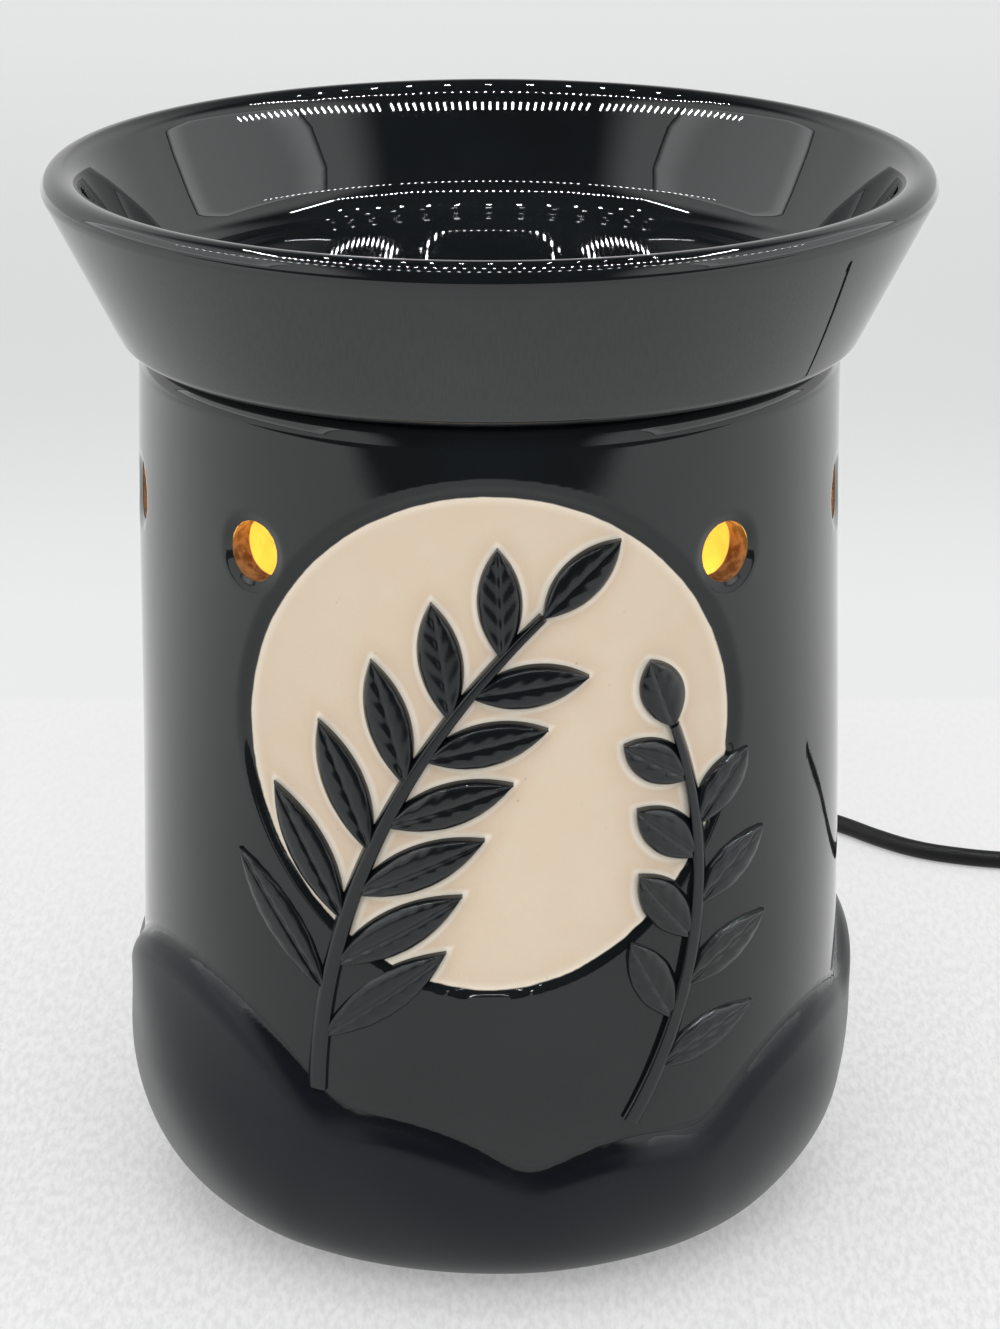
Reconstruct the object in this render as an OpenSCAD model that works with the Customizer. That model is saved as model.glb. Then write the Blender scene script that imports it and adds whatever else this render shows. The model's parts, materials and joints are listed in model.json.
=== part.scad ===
// Electric wax warmer. A ceramic body with a round medallion and a ring of light holes stands over a
// lamp holder on a steel base plate, and a flared dish sits loose on its rim. The mains lead leaves the
// rear wall, passes an in-line switch and ends in a wound coil with a two-blade plug.
// The origin is on the table under the middle of the body. +Z is up and the front faces -Y.

/* [Body] */
// Height of the ceramic body's rim above the table
body_h = 126; // [115:1:145]
// Diameter of the body at its rim
body_top_d = 96.6; // [92:0.2:102]
// Diameter of the body where its rounded base starts
body_low_d = 100.4; // [96:0.2:108]
// Thickness of the ceramic wall
body_wall = 4; // [3:0.25:6]
// Rounding of the rim's outer edge
shoulder_r = 3; // [1:0.25:5]
// Height of the rounded base
base_curve_h = 26; // [22:1:32]
// Height of the foot ring above the table
foot_lift = 1.5; // [1:0.1:2.5]
// Width of the foot ring
foot_ring_w = 4; // [3:0.25:6]
// Thickness of the ceramic floor that the base plate is clamped to
floor_t = 4; // [3:0.25:6]

/* [Medallion and relief] */
// Diameter of the pale medallion on the front
medallion_d = 67; // [54:0.5:72]
// Depth of the medallion below the wall round it
medallion_depth = 0.8; // [0.4:0.1:1.2]
// Distance from the rim down to the middle of the medallion
medallion_drop = 43.3; // [40:0.1:48]
// How far the hills round the base stand proud of the wall
hill_proud = 2.2; // [1:0.1:3]
// How far the leaf sprigs stand proud of the wall
sprig_proud = 0.8; // [0.4:0.1:1.5]
// Width of a leaf
leaf_w = 6; // [4:0.2:7]

/* [Light holes] */
// Diameter of a light hole
hole_d = 8.2; // [6:0.1:10]
// Distance from the rim down to the row of light holes
hole_drop = 20; // [16:0.5:26]
// Number of light holes, with the place in front left free
hole_count = 8; // [6:1:10]

/* [Dish] */
// Diameter across the dish's lip
dish_d = 122; // [114:1:134]
// Diameter across the dish's lower edge
dish_base_d = 103; // [100:0.5:108]
// Height of the dish above the body's rim
dish_h = 23.75; // [20:0.25:30]
// Thickness of the dish's wall
dish_wall = 4; // [3:0.25:5]
// Depth of the bowl below the lip
bowl_depth = 17.5; // [14:0.25:20]
// Rounding between the bowl's wall and floor
bowl_fillet_r = 7; // [4:0.5:9]
// Rounding of the dish's lower edge
dish_edge_r = 3; // [2:0.25:4]
// Height of the ring under the dish that drops into the body's mouth
locator_h = 4; // [3:0.25:6]
// Gap between the locating ring and the body's mouth
locator_gap = 1; // [0.5:0.1:2]
// Gap between the dish and the rim that it rests on
seat_gap = 0.25; // [0.2:0.05:0.4]

/* [Base plate] */
// Thickness of the steel base plate
plate_t = 1.2; // [0.8:0.1:2]
// Depth of the recess that the plate lies in
plate_recess = 3.5; // [3:0.1:5]
// Width of the plate's edge that lies under the ceramic floor
ledge_w = 5.5; // [4:0.25:8]
// Gap round the plate
plate_gap = 0.5; // [0.3:0.1:1]
// Diameter of a rubber foot where it meets the plate
rubber_foot_d = 11; // [8:0.5:13]
// Diameter of the plate screws' threads
plate_screw_d = 3; // [2.5:0.1:3.5]
// Width of a clamping tab
clip_w = 10; // [8:0.5:12]
// Thickness of a clamping tab
clip_t = 1.5; // [1:0.1:2]

/* [Lamp holder] */
// Thickness of the brass screw shell
screw_shell_t = 0.5; // [0.4:0.05:0.8]
// Wall of the holder's cup
holder_wall = 2.3; // [1.8:0.1:3]
// Height of the holder's cup
holder_h = 34; // [31:0.5:38]
// How far the holder's collar stands out from the cup
collar_step = 1.5; // [1:0.1:2]
// Height of the holder's collar
collar_h = 12; // [10:0.5:14]
// Thickness of the holder's floor
holder_floor_t = 6; // [5.5:0.25:8]
// Thickness of the centre contact
contact_t = 1; // [0.6:0.1:1.5]
// Diameter of the hollow stud
nipple_d = 9.6; // [8:0.1:10]
// Thickness of the lock nut
nut_t = 2.2; // [1.6:0.1:2.4]
// Width of the lock nut across its corners
nut_d = 16.2; // [14:0.2:18]
// Diameter of an inner supply wire
inner_lead_d = 1.8; // [1.4:0.1:2]

/* [Bulb] */
// Diameter of the bulb's screw cap
bulb_cap_d = 26.2; // [25:0.1:28]
// Height of the bulb's screw cap
bulb_cap_h = 22.5; // [20:0.5:25]
// Diameter of the glass globe
globe_d = 50; // [44:1:58]
// Thickness of the glass
glass_t = 0.8; // [0.6:0.1:1.2]
// Rounding between the globe and its neck
neck_fillet_r = 10; // [7:0.5:13]
// Gap between the cap and the screw shell
thread_gap = 0.4; // [0.3:0.05:0.6]

/* [Cord] */
// Diameter of the mains lead
cord_d = 3; // [2.6:0.1:3.2]
// Height of the cord's hole above the table
cord_hole_z = 14; // [13:0.5:17]
// Diameter of the cord's hole in the rear wall
cord_hole_d = 8; // [7:0.25:9]
// Length of the tapered strain relief outside the flange
boot_l = 23.3; // [20:0.1:30]
// Loops in each layer of the coil
coil_turns = 2.75; // [1.75:1:3.75]
// Radius of the coil's inner turns
coil_in_r = 12; // [12:0.5:16]
// Distance between turns, beside and above each other
coil_pitch = 3.5; // [3.45:0.05:4]
// Thickness of the strap round the coil
tie_t = 0.8; // [0.6:0.1:1]
// Width of the strap round the coil
tie_w = 5; // [3:0.5:8]

/* [Switch] */
// Length of the switch's housing
switch_l = 44; // [40:0.5:50]
// Width of the switch's housing
switch_w = 20; // [19:0.5:24]
// Height of the switch's housing
switch_h = 16; // [15.5:0.25:18]
// Length of the collar at each end
switch_collar_l = 7; // [5:0.5:9]
// Radius of the rocker's ends about its pivot
rocker_r = 9.6; // [8.5:0.1:10]
// Width of the rocker
rocker_w = 10; // [8:0.25:11]
// Angle that the rocker leans to each side
rocker_tilt = 11; // [8:0.5:13]
// Gap round the rocker
rocker_gap = 0.3; // [0.25:0.05:0.5]

/* [Plug] */
// Width of the plug
plug_w = 22; // [20:0.5:26]
// Thickness of the plug
plug_h = 15; // [13:0.5:17]
// Length of the plug's block
plug_l = 16; // [14:0.5:20]
// Length of the plug's tapered end
plug_boot_l = 20; // [20:0.5:26]
// Length of the blades outside the plug
blade_l = 16.5; // [15:0.5:18]
// Distance between the blades
blade_pitch = 12.7; // [12:0.1:13.4]
// Thickness of a blade
blade_t = 1.5; // [1.3:0.1:1.7]

/* [Hidden] */
$fn = 96;

// Colours
glaze_black = "#1d2022";
steel_grey = "#8b8e91";
brass_yellow = "#c3a24a";
rubber_black = "#232323";
phenolic_brown = "#3a2a20";
glass_amber = "#f7cf6b";
wire_grey = "#9a9a96";
solder_grey = "#b5b7b8";
cord_black = "#141414";
switch_black = "#191a1b";

// Steps in a rounded profile and slack that makes cuts run past a face
arc_steps = 9;
past = 1;
// Gaps between fixed pieces, screws in their holes and pieces of different bodies
fit_gap = 0.1;
slip_gap = 0.2;
body_gap = 0.3;

// Lamp holder, worked outwards from the bulb's cap
cap_r = bulb_cap_d / 2;
shell_in_r = cap_r + thread_gap;
shell_out_r = shell_in_r + screw_shell_t;
holder_bore_r = shell_out_r + slip_gap;
holder_r = holder_bore_r + holder_wall;
collar_r = holder_r + collar_step;
nipple_r = nipple_d / 2;
nipple_wall = 1.4;
nipple_bore_r = nipple_r - nipple_wall;

// Plate, its tabs and screws, worked outwards from the holder's collar
clip_end_gap = 1.5;
clip_end = 3.5;
clip_in_r = collar_r + clip_end_gap;
screw_circle_r = clip_in_r + clip_end;
screw_to_ledge = 4;
ledge_r = screw_circle_r + screw_to_ledge;
clip_grip = 4;
plate_r = ledge_r + ledge_w;
recess_r = plate_r + plate_gap;
foot_r = recess_r + foot_ring_w;
foot_circle_r = plate_r - rubber_foot_d / 2 - plate_gap;

// Heights
seat_z = foot_lift + plate_recess;
plate_z = seat_z - plate_t;
floor_z = seat_z + floor_t;
holder_floor_z = seat_z + holder_floor_t;
holder_top_z = seat_z + holder_h;
contact_z = holder_floor_z + contact_t;
tip_z = contact_z + body_gap;
tip_h = 1;
insulator_h = 2.3;
cap_z = tip_z + tip_h + insulator_h;
cap_top_z = cap_z + bulb_cap_h;
dish_z = body_h + seat_gap;
dish_top_z = dish_z + dish_h;
medallion_z = body_h - medallion_drop;
hole_z = body_h - hole_drop;

// Body
body_top_r = body_top_d / 2;
body_low_r = body_low_d / 2;
mouth_r = body_top_r - body_wall;
rim_flat = 0.6;
rim_round = min(shoulder_r, body_wall - rim_flat);
relief_sink = 1.5;

// Hills: azimuth from the front, height of the crest and radius of its curve
hills = [
    [-160, 35, 32], [-108, 39, 33], [-60, 45, 34], [-18, 29, 28],
    [24, 25, 26], [64, 36, 30], [110, 42, 34], [156, 32, 30]
];
hill_top_z = 50;
hill_start = 25;

// Leaf sprigs, seen from the front: middle and radius of the stem's curve, angle at its foot and its tip,
// number of leaf pairs, and length of the lowest and the highest leaf
sprigs = [
    [[76, 29], 99.4, 178, 134, 6, 23, 14],
    [[-39, 62], 67, -30, 19, 4, 15, 10]
];
stem_foot_w = 3;
stem_tip_w = 1.4;
leaf_spread = 44;
leaf_stagger = 0.3;
front_reach = 70;

// A point on a circle about a middle
function polar(middle, radius, angle) = middle + radius * [cos(angle), sin(angle)];

// Points of an arc from one angle to another
function arc(middle, radius, from, to, steps = arc_steps) =
    [for (i = [0:steps]) polar(middle, radius, from + (to - from) * i / steps)];

// Radius of the plain wall at a height over the rounded base
function wall_r(z) = body_low_r + (body_top_r - body_low_r) * (z - base_curve_h) / (body_h - base_curve_h);

// Quarter of an ellipse from a foot point up to the wall, between two angles
function base_curve(from_r, from_z, to_r, start, end) = [
    for (i = [0:arc_steps])
        let (angle = start + (end - start) * i / arc_steps)
            [from_r + (to_r - from_r) * sin(angle), from_z + (base_curve_h - from_z) * (1 - cos(angle))]
];

// Outer and inner wall with the foot ring, the recess for the plate and the floor
function body_profile() = concat(
    [[recess_r, foot_lift]],
    base_curve(foot_r, foot_lift, body_low_r, 0, 90),
    arc([body_top_r - rim_round, body_h - rim_round], rim_round, 0, 90),
    [[mouth_r, body_h]],
    base_curve(foot_r - body_wall, floor_z, body_low_r - body_wall, 90, 0),
    [[ledge_r, floor_z], [ledge_r, seat_z], [recess_r, seat_z]]
);

// Ring that the hills are cut from, sunk into the wall
function hill_profile() = concat(
    base_curve(foot_r, foot_lift, body_low_r + hill_proud, hill_start, 90),
    [[wall_r(hill_top_z) + hill_proud, hill_top_z], [wall_r(hill_top_z) - relief_sink, hill_top_z]],
    base_curve(foot_r - relief_sink, foot_lift + relief_sink, body_low_r - relief_sink, 90, hill_start)
);

// Ring between two depths of the upper wall, measured outwards from its surface
function wall_band(low_z, high_z, from, to) = [
    [wall_r(low_z) + from, low_z], [wall_r(low_z) + to, low_z],
    [wall_r(high_z) + to, high_z], [wall_r(high_z) + from, high_z]
];

module hill_ring() {
    intersection() {
        rotate_extrude() polygon(hill_profile());
        for (hill = hills)
            rotate([0, 0, hill[0]])
                translate([0, -foot_r / 2, hill[1] - hill[2]])
                    rotate([90, 0, 0])
                        cylinder(r = hill[2], h = front_reach);
    }
}

// Pointed leaf from two crossing arcs, with its stalk at a point of the front view
module leaf(stalk, angle, length, width) {
    side_r = (pow(length, 2) + pow(width, 2)) / (4 * width);
    translate([stalk[0], 0, stalk[1]])
        rotate([0, -angle, 0])
            translate([length / 2, 0, 0])
                intersection() {
                    leaf_side(side_r, side_r - width / 2);
                    leaf_side(side_r, width / 2 - side_r);
                }
}

// One of the two round bars that a leaf is cut from
module leaf_side(side_r, offset_z) {
    translate([0, 0, offset_z])
        rotate([90, 0, 0])
            cylinder(r = side_r, h = front_reach);
}

// Stem that narrows towards its tip
module stem(middle, radius, foot, tip) {
    outer = [for (i = [0:arc_steps])
        polar(middle, radius + (stem_foot_w + (stem_tip_w - stem_foot_w) * i / arc_steps) / 2,
            foot + (tip - foot) * i / arc_steps)];
    inner = [for (i = [arc_steps:-1:0])
        polar(middle, radius - (stem_foot_w + (stem_tip_w - stem_foot_w) * i / arc_steps) / 2,
            foot + (tip - foot) * i / arc_steps)];
    rotate([90, 0, 0])
        linear_extrude(front_reach)
            polygon(concat(outer, inner));
}

// Stem with pairs of leaves that grow shorter towards the tip, and one leaf at the tip
module sprig(middle, radius, foot, tip, pairs, low_l, high_l) {
    turn = tip > foot ? 90 : -90;
    stem(middle, radius, foot, tip);
    for (i = [1:pairs], side = [-1, 1])
        let (share = (i + side * leaf_stagger) / (pairs + 1), angle = foot + (tip - foot) * share)
            leaf(polar(middle, radius, angle), angle + turn + side * leaf_spread,
                low_l + (high_l - low_l) * share, leaf_w);
    leaf(polar(middle, radius, tip), tip + turn, high_l, leaf_w);
}

module sprig_relief() {
    intersection() {
        rotate_extrude()
            polygon(wall_band(base_curve_h, body_h - shoulder_r, -medallion_depth - relief_sink / 2, sprig_proud));
        for (s = sprigs)
            sprig(s[0], s[1], s[2], s[3], s[4], s[5], s[6]);
    }
}

module medallion_recess() {
    intersection() {
        rotate_extrude()
            polygon(wall_band(base_curve_h, body_h, -medallion_depth, hill_proud + past));
        translate([0, 0, medallion_z])
            rotate([90, 0, 0])
                cylinder(d = medallion_d, h = front_reach);
    }
}

module light_holes() {
    from_r = mouth_r - body_wall;
    for (i = [1:hole_count])
        rotate([0, 0, 360 * i / (hole_count + 1)])
            translate([0, -from_r, hole_z])
                rotate([90, 0, 0])
                    cylinder(d = hole_d, h = 4 * body_wall);
}

module body_shell() {
    color(glaze_black)
        union() {
            difference() {
                union() {
                    rotate_extrude() polygon(body_profile());
                    hill_ring();
                }
                medallion_recess();
                light_holes();
                translate([0, 0, cord_hole_z])
                    rotate([-90, 0, 0])
                        cylinder(d = cord_hole_d, h = front_reach);
            }
            sprig_relief();
        }
}

// Dish: middles of the lip's, the lower edge's and the bowl's roundings, and the wall's outward normal
lip_r = dish_wall / 2;
lip_mid = [dish_d / 2 - lip_r, dish_top_z - lip_r];
edge_mid = [dish_base_d / 2 - dish_edge_r, dish_z + dish_edge_r];
flare = lip_mid - edge_mid;
flare_normal = atan2(flare[1], flare[0]) - acos((dish_edge_r - lip_r) / norm(flare));
bowl_z = dish_top_z - bowl_depth;
bowl_mid_z = bowl_z + bowl_fillet_r;
bowl_wall = lip_mid[0] * cos(flare_normal) + lip_mid[1] * sin(flare_normal) - lip_r - bowl_fillet_r;
bowl_mid = [(bowl_wall - bowl_mid_z * sin(flare_normal)) / cos(flare_normal), bowl_mid_z];
locator_r = mouth_r - locator_gap;
under_z = bowl_z - dish_wall;

module dish() {
    color(glaze_black)
        rotate_extrude()
            polygon(concat(
                [[0, under_z], [locator_r - dish_wall, under_z], [locator_r - dish_wall, dish_z - locator_h]],
                [[locator_r, dish_z - locator_h], [locator_r, dish_z]],
                arc(edge_mid, dish_edge_r, -90, flare_normal),
                arc(lip_mid, lip_r, flare_normal, flare_normal + 180, 2 * arc_steps),
                arc(bowl_mid, bowl_fillet_r, flare_normal, -90),
                [[0, bowl_z]]
            ));
}

// Plate screws: pan head under the plate, thread up through the clamping tab
screw_head_d = plate_screw_d + 2.6;
screw_head_h = 1.7;
screw_angles = [90, 210, 330];
foot_angles = [30, 150, 270];
foot_taper = 1.6;

module at_screws() {
    for (angle = screw_angles)
        rotate([0, 0, angle])
            translate([screw_circle_r, 0, 0])
                children();
}

module base_plate() {
    color(steel_grey)
        difference() {
            translate([0, 0, plate_z])
                cylinder(r = plate_r, h = plate_t);
            translate([0, 0, plate_z - past])
                cylinder(r = nipple_r + fit_gap, h = plate_t + 2 * past);
            at_screws()
                translate([0, 0, plate_z - past])
                    cylinder(d = plate_screw_d + 2 * slip_gap, h = plate_t + 2 * past);
        }
}

module plate_clips() {
    color(steel_grey)
        at_screws()
            difference() {
                translate([-clip_end, -clip_w / 2, floor_z])
                    cube([clip_end + screw_to_ledge + clip_grip, clip_w, clip_t]);
                translate([0, 0, floor_z - past])
                    cylinder(d = plate_screw_d + 2 * fit_gap, h = clip_t + 2 * past);
            }
}

module plate_screws() {
    color(steel_grey)
        at_screws() {
            translate([0, 0, plate_z - screw_head_h])
                cylinder(d = screw_head_d, h = screw_head_h);
            translate([0, 0, plate_z - past / 2])
                cylinder(d = plate_screw_d, h = floor_z + clip_t - plate_z + past);
        }
}

module rubber_feet() {
    color(rubber_black)
        for (angle = foot_angles)
            rotate([0, 0, angle])
                translate([foot_circle_r, 0, 0])
                    cylinder(d1 = rubber_foot_d - foot_taper, d2 = rubber_foot_d, h = plate_z);
}

// Terminal screws on the sides of the holder's collar
terminal_d = 3;
terminal_head_d = 5.2;
terminal_head_h = 1.5;
terminal_depth = 5;
terminal_z = seat_z + holder_floor_t / 2;

module holder_housing() {
    lip = 1;
    color(phenolic_brown)
        difference() {
            rotate_extrude()
                polygon([
                    [nipple_r + fit_gap, seat_z], [collar_r, seat_z], [collar_r, seat_z + collar_h],
                    [holder_r, seat_z + collar_h + collar_step], [holder_r, holder_top_z - lip],
                    [holder_r - lip, holder_top_z], [holder_bore_r, holder_top_z],
                    [holder_bore_r, holder_floor_z], [nipple_r + fit_gap, holder_floor_z]
                ]);
            for (side = [0, 180])
                rotate([0, 0, side])
                    translate([collar_r - terminal_depth, 0, terminal_z])
                        rotate([0, 90, 0])
                            cylinder(d = terminal_d + 2 * fit_gap, h = terminal_depth + past);
        }
}

module terminal_screws() {
    color(brass_yellow)
        for (side = [0, 180])
            rotate([0, 0, side])
                translate([collar_r, 0, terminal_z])
                    rotate([0, 90, 0]) {
                        translate([0, 0, fit_gap])
                            cylinder(d = terminal_head_d, h = terminal_head_h);
                        translate([0, 0, fit_gap - terminal_depth])
                            cylinder(d = terminal_d, h = terminal_depth + terminal_head_h / 2);
                    }
}

module screw_shell() {
    flange_r = shell_out_r / 2;
    color(brass_yellow)
        rotate_extrude()
            polygon([
                [flange_r, holder_floor_z], [shell_out_r, holder_floor_z],
                [shell_out_r, holder_top_z - past], [shell_in_r, holder_top_z - past],
                [shell_in_r, holder_floor_z + screw_shell_t], [flange_r, holder_floor_z + screw_shell_t]
            ]);
}

module centre_contact() {
    dome = 0.4;
    overlap = 0.9;
    contact_r = nipple_r + overlap;
    color(brass_yellow)
        rotate_extrude()
            polygon([
                [0, holder_floor_z], [contact_r, holder_floor_z], [contact_r, contact_z - dome],
                [contact_r / 2, contact_z], [0, contact_z]
            ]);
}

module holder_nipple() {
    below_nut = 0.6;
    below_floor = 0.4;
    nipple_low_z = plate_z - nut_t - below_nut;
    nipple_top_z = holder_floor_z - below_floor;
    color(steel_grey)
        translate([0, 0, nipple_low_z])
            difference() {
                cylinder(r = nipple_r, h = nipple_top_z - nipple_low_z);
                translate([0, 0, -past])
                    cylinder(r = nipple_bore_r, h = nipple_top_z - nipple_low_z + 2 * past);
            }
}

module lock_nut() {
    color(steel_grey)
        translate([0, 0, plate_z - nut_t])
            difference() {
                cylinder(d = nut_d, h = nut_t, $fn = 6);
                translate([0, 0, -past])
                    cylinder(r = nipple_r + fit_gap, h = nut_t + 2 * past);
            }
}

// Closed tube swept along points, as triangles. Its rings stand upright across the path
function path_way(points, i) =
    let (from = points[max(i - 1, 0)], to = points[min(i + 1, len(points) - 1)])
        (to - from) / norm(to - from);
function ring_points(points, i, radius, sides) =
    let (
        way = path_way(points, i),
        across = cross(way, [0, 0, 1]) / norm(cross(way, [0, 0, 1])),
        up = cross(across, way)
    )
    [for (k = [0:sides - 1])
        points[i] + radius * (cos(360 * k / sides) * across + sin(360 * k / sides) * up)];

module tube(points, diameter, sides) {
    last = len(points) - 1;
    corners = [for (i = [0:last]) each ring_points(points, i, diameter / 2, sides)];
    walls = [for (i = [0:last - 1], k = [0:sides - 1])
        let (a = i * sides + k, b = i * sides + (k + 1) % sides)
            each [[a, a + sides, b], [b, a + sides, b + sides]]];
    ends = [for (k = [1:sides - 2])
        each [[0, k, k + 1], [last * sides, last * sides + k + 1, last * sides + k]]];
    polyhedron(corners, concat(walls, ends));
}

// Strain relief in the rear wall
boot_bush_r = cord_hole_d / 2 - body_gap;
boot_flange_y = body_low_r + hill_proud + body_gap;
boot_flange_t = 2;
boot_flange_r = cord_hole_d / 2 + 2;
boot_inside = 5.2;
boot_in_y = body_low_r - body_wall - boot_inside;
boot_out_y = boot_flange_y + boot_flange_t + boot_l;
boot_big_r = boot_bush_r;
boot_end_wall = 0.6;
boot_small_r = cord_d / 2 + boot_end_wall;
boot_ribs = 4;
boot_groove = 0.5;

// Outline of the tapered end with its ring grooves, along the boot's length
function boot_taper() = [
    for (i = [0:boot_ribs - 1], step = [0:3])
        let (
            share = (i + [0.1, 0.5, 0.5, 0.9][step]) / boot_ribs,
            radius = boot_big_r + (boot_small_r - boot_big_r) * share
        )
        [radius - (step > 1 ? boot_groove : 0), boot_flange_y + boot_flange_t + boot_l * share]
];

module cord_boot() {
    color(rubber_black)
        translate([0, 0, cord_hole_z])
            rotate([-90, 0, 0])
                rotate_extrude()
                    polygon(concat(
                        [[0, boot_in_y], [boot_bush_r, boot_in_y], [boot_bush_r, boot_flange_y]],
                        [[boot_flange_r, boot_flange_y], [boot_flange_r, boot_flange_y + boot_flange_t]],
                        boot_taper(),
                        [[boot_small_r, boot_out_y], [0, boot_out_y]]
                    ));
}

// Supply wires from the boot to the terminals, inside the base
wire_x = collar_r + fit_gap + terminal_head_h / 2;
wire_gap = terminal_head_d / 2 + inner_lead_d / 2 + body_gap;
wire_route = [
    [1.2, boot_in_y - slip_gap, cord_hole_z], [1.4, boot_in_y - 3, cord_hole_z], [5, 33, cord_hole_z - 0.5],
    [11, 26, cord_hole_z - 2], [17, 18, cord_hole_z - 4], [wire_x, 11, terminal_z + 0.6],
    [wire_x, wire_gap + 3, terminal_z], [wire_x, wire_gap, terminal_z]
];

module inner_leads() {
    color(wire_grey)
        for (side = [0, 1])
            mirror([side, 0, 0])
                tube(wire_route, inner_lead_d, 8);
}

// Bulb: neck, globe and the rounding between them share their middles inside and outside
neck_step = 0.9;
neck_r = cap_r - neck_step;
globe_r = globe_d / 2;
neck_h = 2;
neck_top_z = cap_top_z + neck_h;
neck_mid = [neck_r + neck_fillet_r, neck_top_z];
globe_mid = [0, neck_top_z + sqrt(pow(globe_r + neck_fillet_r, 2) - pow(neck_mid[0], 2))];
neck_turn = atan2(globe_mid[1] - neck_top_z, -neck_mid[0]);
glass_in_cap = 5;
glass_low_z = cap_top_z - glass_in_cap;
cap_t = 0.4;

// Outline of the glass at a depth below its outer face, from the neck to the crown
function glass_outline(depth) = concat(
    [[neck_r - depth, glass_low_z]],
    arc(neck_mid, neck_fillet_r + depth, 180, neck_turn),
    [for (i = [1:3 * arc_steps])
        polar(globe_mid, globe_r - depth, neck_turn - 180 + (270 - neck_turn) * i / (3 * arc_steps))]
);

function reversed(points) = [for (i = [len(points) - 1:-1:0]) points[i]];

module bulb_glass() {
    color(glass_amber)
        rotate_extrude()
            polygon(concat(glass_outline(0), reversed(glass_outline(glass_t))));
}

module bulb_cap() {
    foot_in = 1.5;
    color(solder_grey)
        rotate_extrude()
            polygon([
                [cap_r - foot_in, cap_z], [cap_r, cap_z + foot_in], [cap_r, cap_top_z],
                [cap_r - cap_t, cap_top_z], [cap_r - cap_t, cap_z + foot_in],
                [cap_r - foot_in - cap_t, cap_z]
            ]);
}

module bulb_insulator() {
    disc_step = 2.2;
    disc_r = cap_r - disc_step;
    color(rubber_black)
        translate([0, 0, tip_z + tip_h])
            cylinder(r1 = disc_r / 2, r2 = disc_r, h = insulator_h);
}

module bulb_tip() {
    tip_r = 3.4;
    tip_taper = 0.8;
    color(solder_grey)
        translate([0, 0, tip_z])
            cylinder(r1 = tip_r - tip_taper, r2 = tip_r, h = tip_h);
}

// Glass stem inside the bulb, flared where it closes the neck
stem_rod_r = 2.2;
stem_root = 1;
stem_rise = 15;
stem_tip_h = 2;
stem_top_z = neck_top_z + stem_rise;
filament_r = 9;
filament_z = globe_mid[1] + 1;
support_d = 0.7;

module bulb_stem() {
    flare_r = neck_r - glass_t - slip_gap;
    color(glass_amber)
        rotate_extrude()
            polygon([
                [0, glass_low_z], [flare_r, glass_low_z], [flare_r, glass_low_z + stem_root],
                [stem_rod_r + stem_root, neck_top_z], [stem_rod_r, stem_top_z - stem_tip_h],
                [stem_rod_r - stem_root, stem_top_z], [0, stem_top_z]
            ]);
}

// Straight round wire between two points
module wire(from, to, diameter) {
    way = to - from;
    translate(from)
        rotate([0, acos(way[2] / norm(way)), atan2(way[1], way[0])])
            cylinder(d = diameter, h = norm(way));
}

module bulb_supports() {
    foot_x = stem_rod_r + support_d / 2 + fit_gap;
    color(wire_grey)
        for (side = [-1, 1])
            wire([side * foot_x, 0, stem_top_z - stem_tip_h], [side * filament_r, 0, filament_z - support_d],
                support_d);
}

module bulb_filament() {
    color(wire_grey)
        translate([0, 0, filament_z])
            rotate_extrude(angle = 180)
                translate([filament_r, 0])
                    circle(d = support_d);
}

// Lead from the boot, down to the table behind the body, round to the right and up into the switch
cord_r = cord_d / 2;
switch_x = 192;
switch_y = 57;
cord_axis_z = switch_h / 2;
switch_reach = switch_l / 2 + switch_collar_l;
lead_route = [
    [0, boot_out_y, cord_hole_z], [0, boot_out_y + 3, cord_hole_z], [0, 88, 13.4], [0, 95, 11],
    [1, 102, 7.5], [2, 109, 4.4], [5, 117, 2.4], [9, 125, 1.7], [15, 132, 1.5], [22, 138, 1.5],
    [31, 142, 1.5], [41, 143, 1.5], [50, 141, 1.5], [57, 137, 1.5], [63, 131.5, 1.5], [69, 125, 1.5],
    [75, 120, 1.5], [82, 116.8, 1.5], [90, 114.7, 1.5], [100, 113.1, 1.5], [112, 112.3, 1.5], [126, 112, 1.5],
    [140, 112, 1.5], [154, 112, 1.5], [167, 111.5, 1.5], [176, 109.2, 1.7], [183, 104.5, 2.6], [188, 98, 4.4],
    [191, 92, 6.6],
    [switch_x, switch_y + switch_reach + 3, cord_axis_z], [switch_x, switch_y + switch_reach, cord_axis_z]
];

module cord_lead() {
    color(cord_black)
        tube(lead_route, cord_d, 8);
}

// Switch: boat-shaped housing lying along the lead, parted at the height of the cord
switch_end_w = 9;
switch_crown_r = 20;
switch_side_r = (pow(switch_l, 2) + pow(switch_w - switch_end_w, 2)) / (4 * (switch_w - switch_end_w));
switch_collar_r = 4;
collar_end_wall = 0.8;
pivot_depth = 4.8;
pivot_z = switch_h - pivot_depth;
pivot_d = 3;
pivot_l = 1.4;
rocker_low = 3;
rocker_mid_h = 3.2;
window_r = rocker_r + rocker_gap;
window_w = rocker_w + 2 * rocker_gap;
switch_screw_d = 2;
switch_screw_x = 15.5;
switch_head_d = 3.8;
switch_head_h = 1.4;
switch_head_in = 0.4;
switch_screw_top_z = cord_axis_z + 3.6;
switch_floor_z = 2.4;

module on_table_at_switch() {
    translate([switch_x, switch_y, 0])
        rotate([0, 0, -90])
            children();
}

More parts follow.
